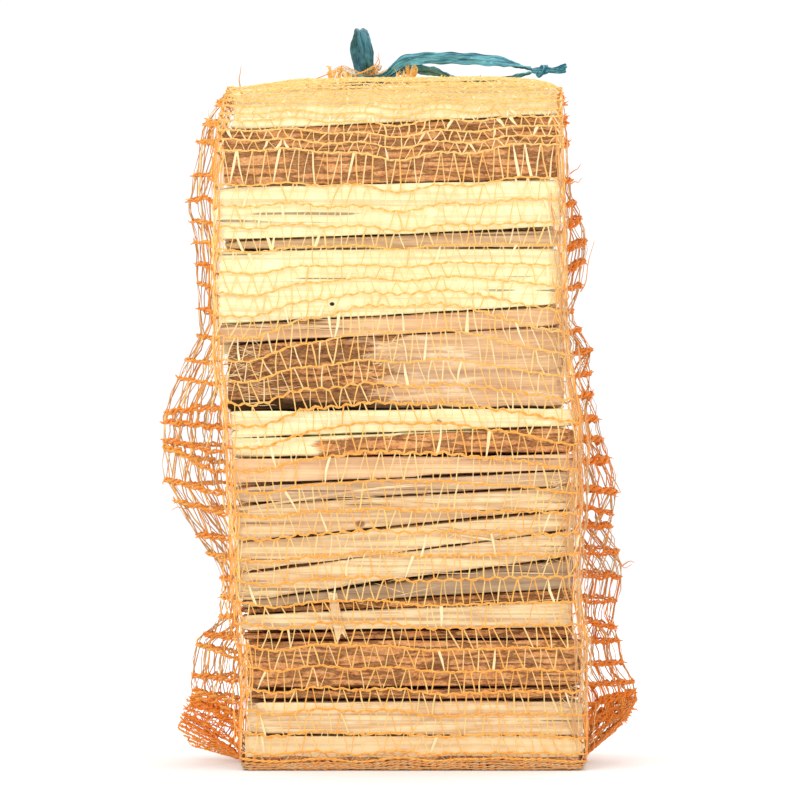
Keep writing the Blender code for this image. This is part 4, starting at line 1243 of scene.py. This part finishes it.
class KINDLING_OT_stage(bpy.types.Operator):
    """Adds the white floor, the lights, the surround and the camera"""

    bl_idname = "kindling.stage"
    bl_label = "Stage"

    def execute(self, context):
        settings = context.scene.kindling_stage
        scene = context.scene
        camera = bpy.data.cameras.new("camera")
        camera.sensor_width = 36.0
        camera.lens = camera.sensor_width * settings.distance / settings.view_width
        camera.clip_end = 50.0
        viewer = bpy.data.objects.new("camera", camera)
        viewer.location = (0.0, -settings.distance - HALF_DEPTH * MM, settings.view_height)
        viewer.rotation_euler = (math.radians(90), 0, 0)
        scene.collection.objects.link(viewer)
        scene.camera = viewer
        world = bpy.data.worlds.new("surround")
        world.use_nodes = True
        background = world.node_tree.nodes["Background"]
        background.inputs["Color"].default_value = (1.0, 1.0, 1.0, 1.0)
        background.inputs["Strength"].default_value = settings.surround
        scene.world = world
        scene.view_settings.view_transform = "Standard"
        bpy.ops.object.select_all(action="DESELECT")
        bpy.ops.mesh.primitive_grid_add(x_subdivisions=8, y_subdivisions=8, size=12.0, location=(0, 0, -FLOOR_DROP))
        floor = context.object
        floor.name = "floor"
        floor.data.materials.append(paper_white("floor_white"))
        for name, place, size, power in (
            ("key", (-1.1, -2.0, 1.9), 1.2, settings.key_power),
            ("fill", (1.5, -2.2, 1.0), 1.4, settings.key_power * 0.5),
            ("top", (0.1, 0.4, 2.0), 1.2, settings.key_power * 0.45),
            ("rear", (0.4, 2.2, 1.2), 1.4, settings.key_power * 0.4),
        ):
            lamp = bpy.data.lights.new(name, "AREA")
            lamp.size = size
            lamp.energy = power
            light = bpy.data.objects.new(name, lamp)
            light.location = place
            light.rotation_euler = (Vector((0, 0, 0.2)) - Vector(place)).to_track_quat("-Z", "Y").to_euler()
            scene.collection.objects.link(light)
        return {"FINISHED"}


class KINDLING_OT_drawstring(bpy.types.Operator):
    """Adds the flat drawstring: its loop, its two ends, their knot and the turn round the neck"""

    bl_idname = "kindling.drawstring"
    bl_label = "Drawstring"

    def execute(self, context):
        settings = context.scene.kindling_drawstring
        drawstring_tape(tuple(settings.teal), tuple(settings.sheen))
        knot = self.knot(settings)
        # The last value is each tape's painted shade; the loop is made darker.
        for name, node, route, across, curl, far_end, beyond, twist, folds, shade in (
            ("upper", "upper_end", UPPER_ROUTE, (0, 0, 1), 0.5, "knot", [knot], UPPER_TWIST, 1.1, 0.0),
            ("lower", "lower_end", LOWER_ROUTE, (0.5, 0.87, 0), 0.3, "knot", [knot], LOWER_TWIST, 1.1, 0.0),
            ("loop", "loop", LOOP_ROUTE, (0.9, 0.43, 0), 0.2, "object", [], LOOP_TWIST, 1.5, 0.6),
        ):
            piece, path, length = taped(f"tape_{name}", route, across, settings, curl, twist, folds, shade)
            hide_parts(f"drawstring_{node}")
        self.wrap(settings)
        return {"FINISHED"}

    def knot(self, settings):
        """An overhand knot: one tape over and round the other, and two short tails."""
        over = [
            (
                81.6 + 1.9 * math.cos(turn) * 0.9 + turn * 0.28,
                -59.6 + 2.3 * math.sin(turn),
                406.4 + 2.9 * math.sin(turn + 0.9),
                1.9,
            )
            for turn in np.linspace(0, 2 * math.pi * 1.15, 15)
        ]
        routes = ((over, (0.4, 0.9, 0.2)), (KNOT_CORE, (0, 0.3, 1)), (TAIL_UP, (0, 0.2, 1)), (TAIL_DOWN, (0, -0.2, 1)))
        parts = [
            taped(f"knot_part_{index}", route, across, settings, 0.3)[0] for index, (route, across) in enumerate(routes)
        ]
        only(parts[0])
        for part in parts[1:]:
            part.select_set(True)
        bpy.ops.object.join()
        knot = bpy.context.object
        knot.name = "tape_knot"
        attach(knot, "root")
        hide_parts("drawstring_knot")
        return knot

    def wrap(self, settings):
        """The tape's turn round the neck."""
        route = []
        for turn in np.linspace(0, 2 * math.pi * 1.2, 40):
            radius = NECK_RADIUS + 1.1 + 0.06 * turn
            x, y = NECK_X + radius * math.cos(turn), NECK_Y + radius * math.sin(turn)
            route.append((x, y, 405.0 + 0.5 * math.sin(2 * turn), 2.1))
        piece = taped("tape_wrap", route, (0, 0, 1), settings, 0.2)[0]
        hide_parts("drawstring_wrap")


class KINDLING_OT_sticks(bpy.types.Operator):
    """Gives every stick the grain, bark and colours of split softwood"""

    bl_idname = "kindling.sticks"
    bl_label = "Sticks"

    def execute(self, context):
        wood = context.scene.kindling_wood
        pale, straw, rose, grey, cork = (tuple(c) for c in (wood.pale, wood.straw, wood.rose, wood.grey, wood.bark))
        split_wood("pale_split", pale, (0.90, 0.60, 0.27), 0.62)
        split_wood("straw_split", straw, (0.60, 0.33, 0.15), 1.1)
        split_wood("rose_split", rose, (0.58, 0.30, 0.15), 0.85)
        split_wood("grey_split", grey, (0.42, 0.25, 0.14), 0.85)
        # A darker copy of the grey wood: painted shade for the front stick that lies in shadow.
        split_wood("grey_in_shade_split", shaded(grey, 0.62), (0.24, 0.12, 0.06), 0.9)
        bark("flaked_bark", cork)
        half_barked("half_barked_split", cork, (0.86, 0.57, 0.31))
        wedge_barked("wedge_barked_split", cork, pale)
        foot_bark_shade("foot_bark_shade_split", cork, straw)
        for node in sorted(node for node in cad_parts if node.startswith("stick_")):
            index = int(node[-2:]) - 1
            if "front" in node:
                rough_stick(node, FRONT_FINISHES[index], wood.front_grid, wood)
                continue
            start, grid = (BACK_START, wood.back_grid) if "back" in node else (MIDDLE_START, wood.middle_grid)
            finish = HIDDEN_FINISHES[(index * HIDDEN_STEP + start) % len(HIDDEN_FINISHES)]
            rough_stick(node, finish, grid, wood)
        self.splinter()
        self.fibres()
        return {"FINISHED"}

    def fibres(self):
        """Fine slivers that stand off the torn wood, and three long ones split from the sticks."""
        rng = np.random.default_rng(SLIVER_SEED)
        bundle, stations = Bundle(), SLIVER_STATIONS
        for low, high, bottom, top, depth, count, longest, lean in SLIVERS:
            for _ in range(count):
                x, z = rng.uniform(low, high), rng.uniform(bottom, top)
                length, slope = rng.uniform(0.35, 1.0) * longest, rng.normal(0, lean)
                bow = rng.normal(0, 0.5)
                share = np.linspace(-0.5, 0.5, stations)
                bowed = depth + bow * (share**2 - 0.2)
                path = np.stack([x + share * length, bowed, z + slope * share * length], axis=1)
                path[:, 2] += rng.normal(0, 0.3) * np.sin(share * 5)
                path[:, 0] = np.clip(path[:, 0], *STACK_X)
                wide = rng.uniform(0.12, 0.32) * np.array([0.25, 0.8, 1.0, 1.0, 0.7, 0.2])
                bundle.yarn(path, TOWARDS_VIEWER, wide, wide)
        for route, half in LONG_SLIVERS:
            path = smooth_route([(*point, 0.0) for point in route], 5)[:, :3] / MM
            path = path[np.linspace(0, len(path) - 1, 3 * stations).astype(int)].reshape(3, stations, 3)
            for part, (near, far) in enumerate(((0.4, 1.0), (1.0, 0.9), (0.9, 0.2))):
                run = path[part]
                if part:
                    run = np.vstack([path[part - 1][-1:], run[1:]])
                wide = np.linspace(near, far, stations) * half
                bundle.yarn(run, TOWARDS_VIEWER, wide, wide * 0.6)
        piece = bundle.mesh("wood_slivers", bpy.data.materials[FINISH_NAMES["straw"]])
        each = 3 * stations
        mark(piece, "tint", np.repeat(rng.uniform(0, 1, bundle.total // each), each))
        mark(piece, "end", np.zeros(bundle.total))
        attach(piece, "root")

    def splinter(self):
        """The torn strip of wood that the net holds against the front."""
        piece = remeshed("loose_splinter", "wood_splinter", "straw", SPLINTER_GRID)
        displace(piece, "fibres", size=0.0022, strength=0.0007, middle=0.6, depth=2)
        mark(piece, "tint", np.full(len(piece.data.vertices), 0.1))
        mark(piece, "end", np.zeros(len(piece.data.vertices)))
        bpy.ops.object.shade_smooth_by_angle(angle=SMOOTH_WOOD)
        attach(piece, "root")
        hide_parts("loose_splinter")


class KINDLING_OT_net(bpy.types.Operator):
    """Adds the knitted net: its courses, the tapes between them and the loose ends on its flaps"""

    bl_idname = "kindling.net"
    bl_label = "Net"

    def execute(self, context):
        net = context.scene.kindling_net
        rng = np.random.default_rng(NET_SEED)
        finish = net_yarn(tuple(net.orange), tuple(net.cream))
        courses = Courses(Sack(), net.wales, net.course_pitch)
        last = len(courses.levels)
        third, half = last // 3, last // 2
        for name, chosen in (
            ("net_courses_lower", range(third)), ("net_courses_middle", range(third, 2 * third)),
            ("net_courses_upper", range(2 * third, last)),
        ):
            bundle = Bundle()
            knit_courses(courses, bundle, list(chosen), net.strand / MM, rng)
            bundle.piece(name, finish)
        for name, chosen in (("net_tapes_lower", range(half)), ("net_tapes_upper", range(half, last - 1))):
            bundle = Bundle()
            knit_tapes(courses, bundle, list(chosen), net.tape / MM, rng)
            bundle.piece(name, finish)
        knit_tufts(courses, rng).piece("net_tufts", finish)
        return {"FINISHED"}


class KINDLING_PT_panel(bpy.types.Panel):
    """Lists the pieces of the net of kindling"""

    bl_idname = "KINDLING_PT_panel"
    bl_label = "Net of kindling"
    bl_space_type = "VIEW_3D"
    bl_region_type = "UI"
    bl_category = "Kindling"

    def draw(self, context):
        for operator, settings in (
            (KINDLING_OT_stage, context.scene.kindling_stage),
            (KINDLING_OT_drawstring, context.scene.kindling_drawstring),
            (KINDLING_OT_sticks, context.scene.kindling_wood),
            (KINDLING_OT_net, context.scene.kindling_net),
        ):
            box = self.layout.box()
            for name in settings.bl_rna.properties.keys():
                if name not in ("rna_type", "name"):
                    box.prop(settings, name)
            box.operator(operator.bl_idname)


CLASSES = (
    WoodSettings, NetSettings, DrawstringSettings, StageSettings,
    KINDLING_OT_stage, KINDLING_OT_drawstring, KINDLING_OT_sticks, KINDLING_OT_net, KINDLING_PT_panel,
)
SETTINGS = {
    "kindling_wood": WoodSettings, "kindling_net": NetSettings,
    "kindling_drawstring": DrawstringSettings, "kindling_stage": StageSettings,
}


def register():
    for made in CLASSES:
        bpy.utils.register_class(made)
    for name, kind in SETTINGS.items():
        setattr(bpy.types.Scene, name, bpy.props.PointerProperty(type=kind))


def unregister():
    for name in SETTINGS:
        delattr(bpy.types.Scene, name)
    for made in reversed(CLASSES):
        bpy.utils.unregister_class(made)


def main():
    register()
    bpy.ops.kindling.stage()
    bpy.ops.kindling.drawstring()
    bpy.ops.kindling.sticks()
    bpy.ops.kindling.net()


if __name__ == "__main__":
    main()
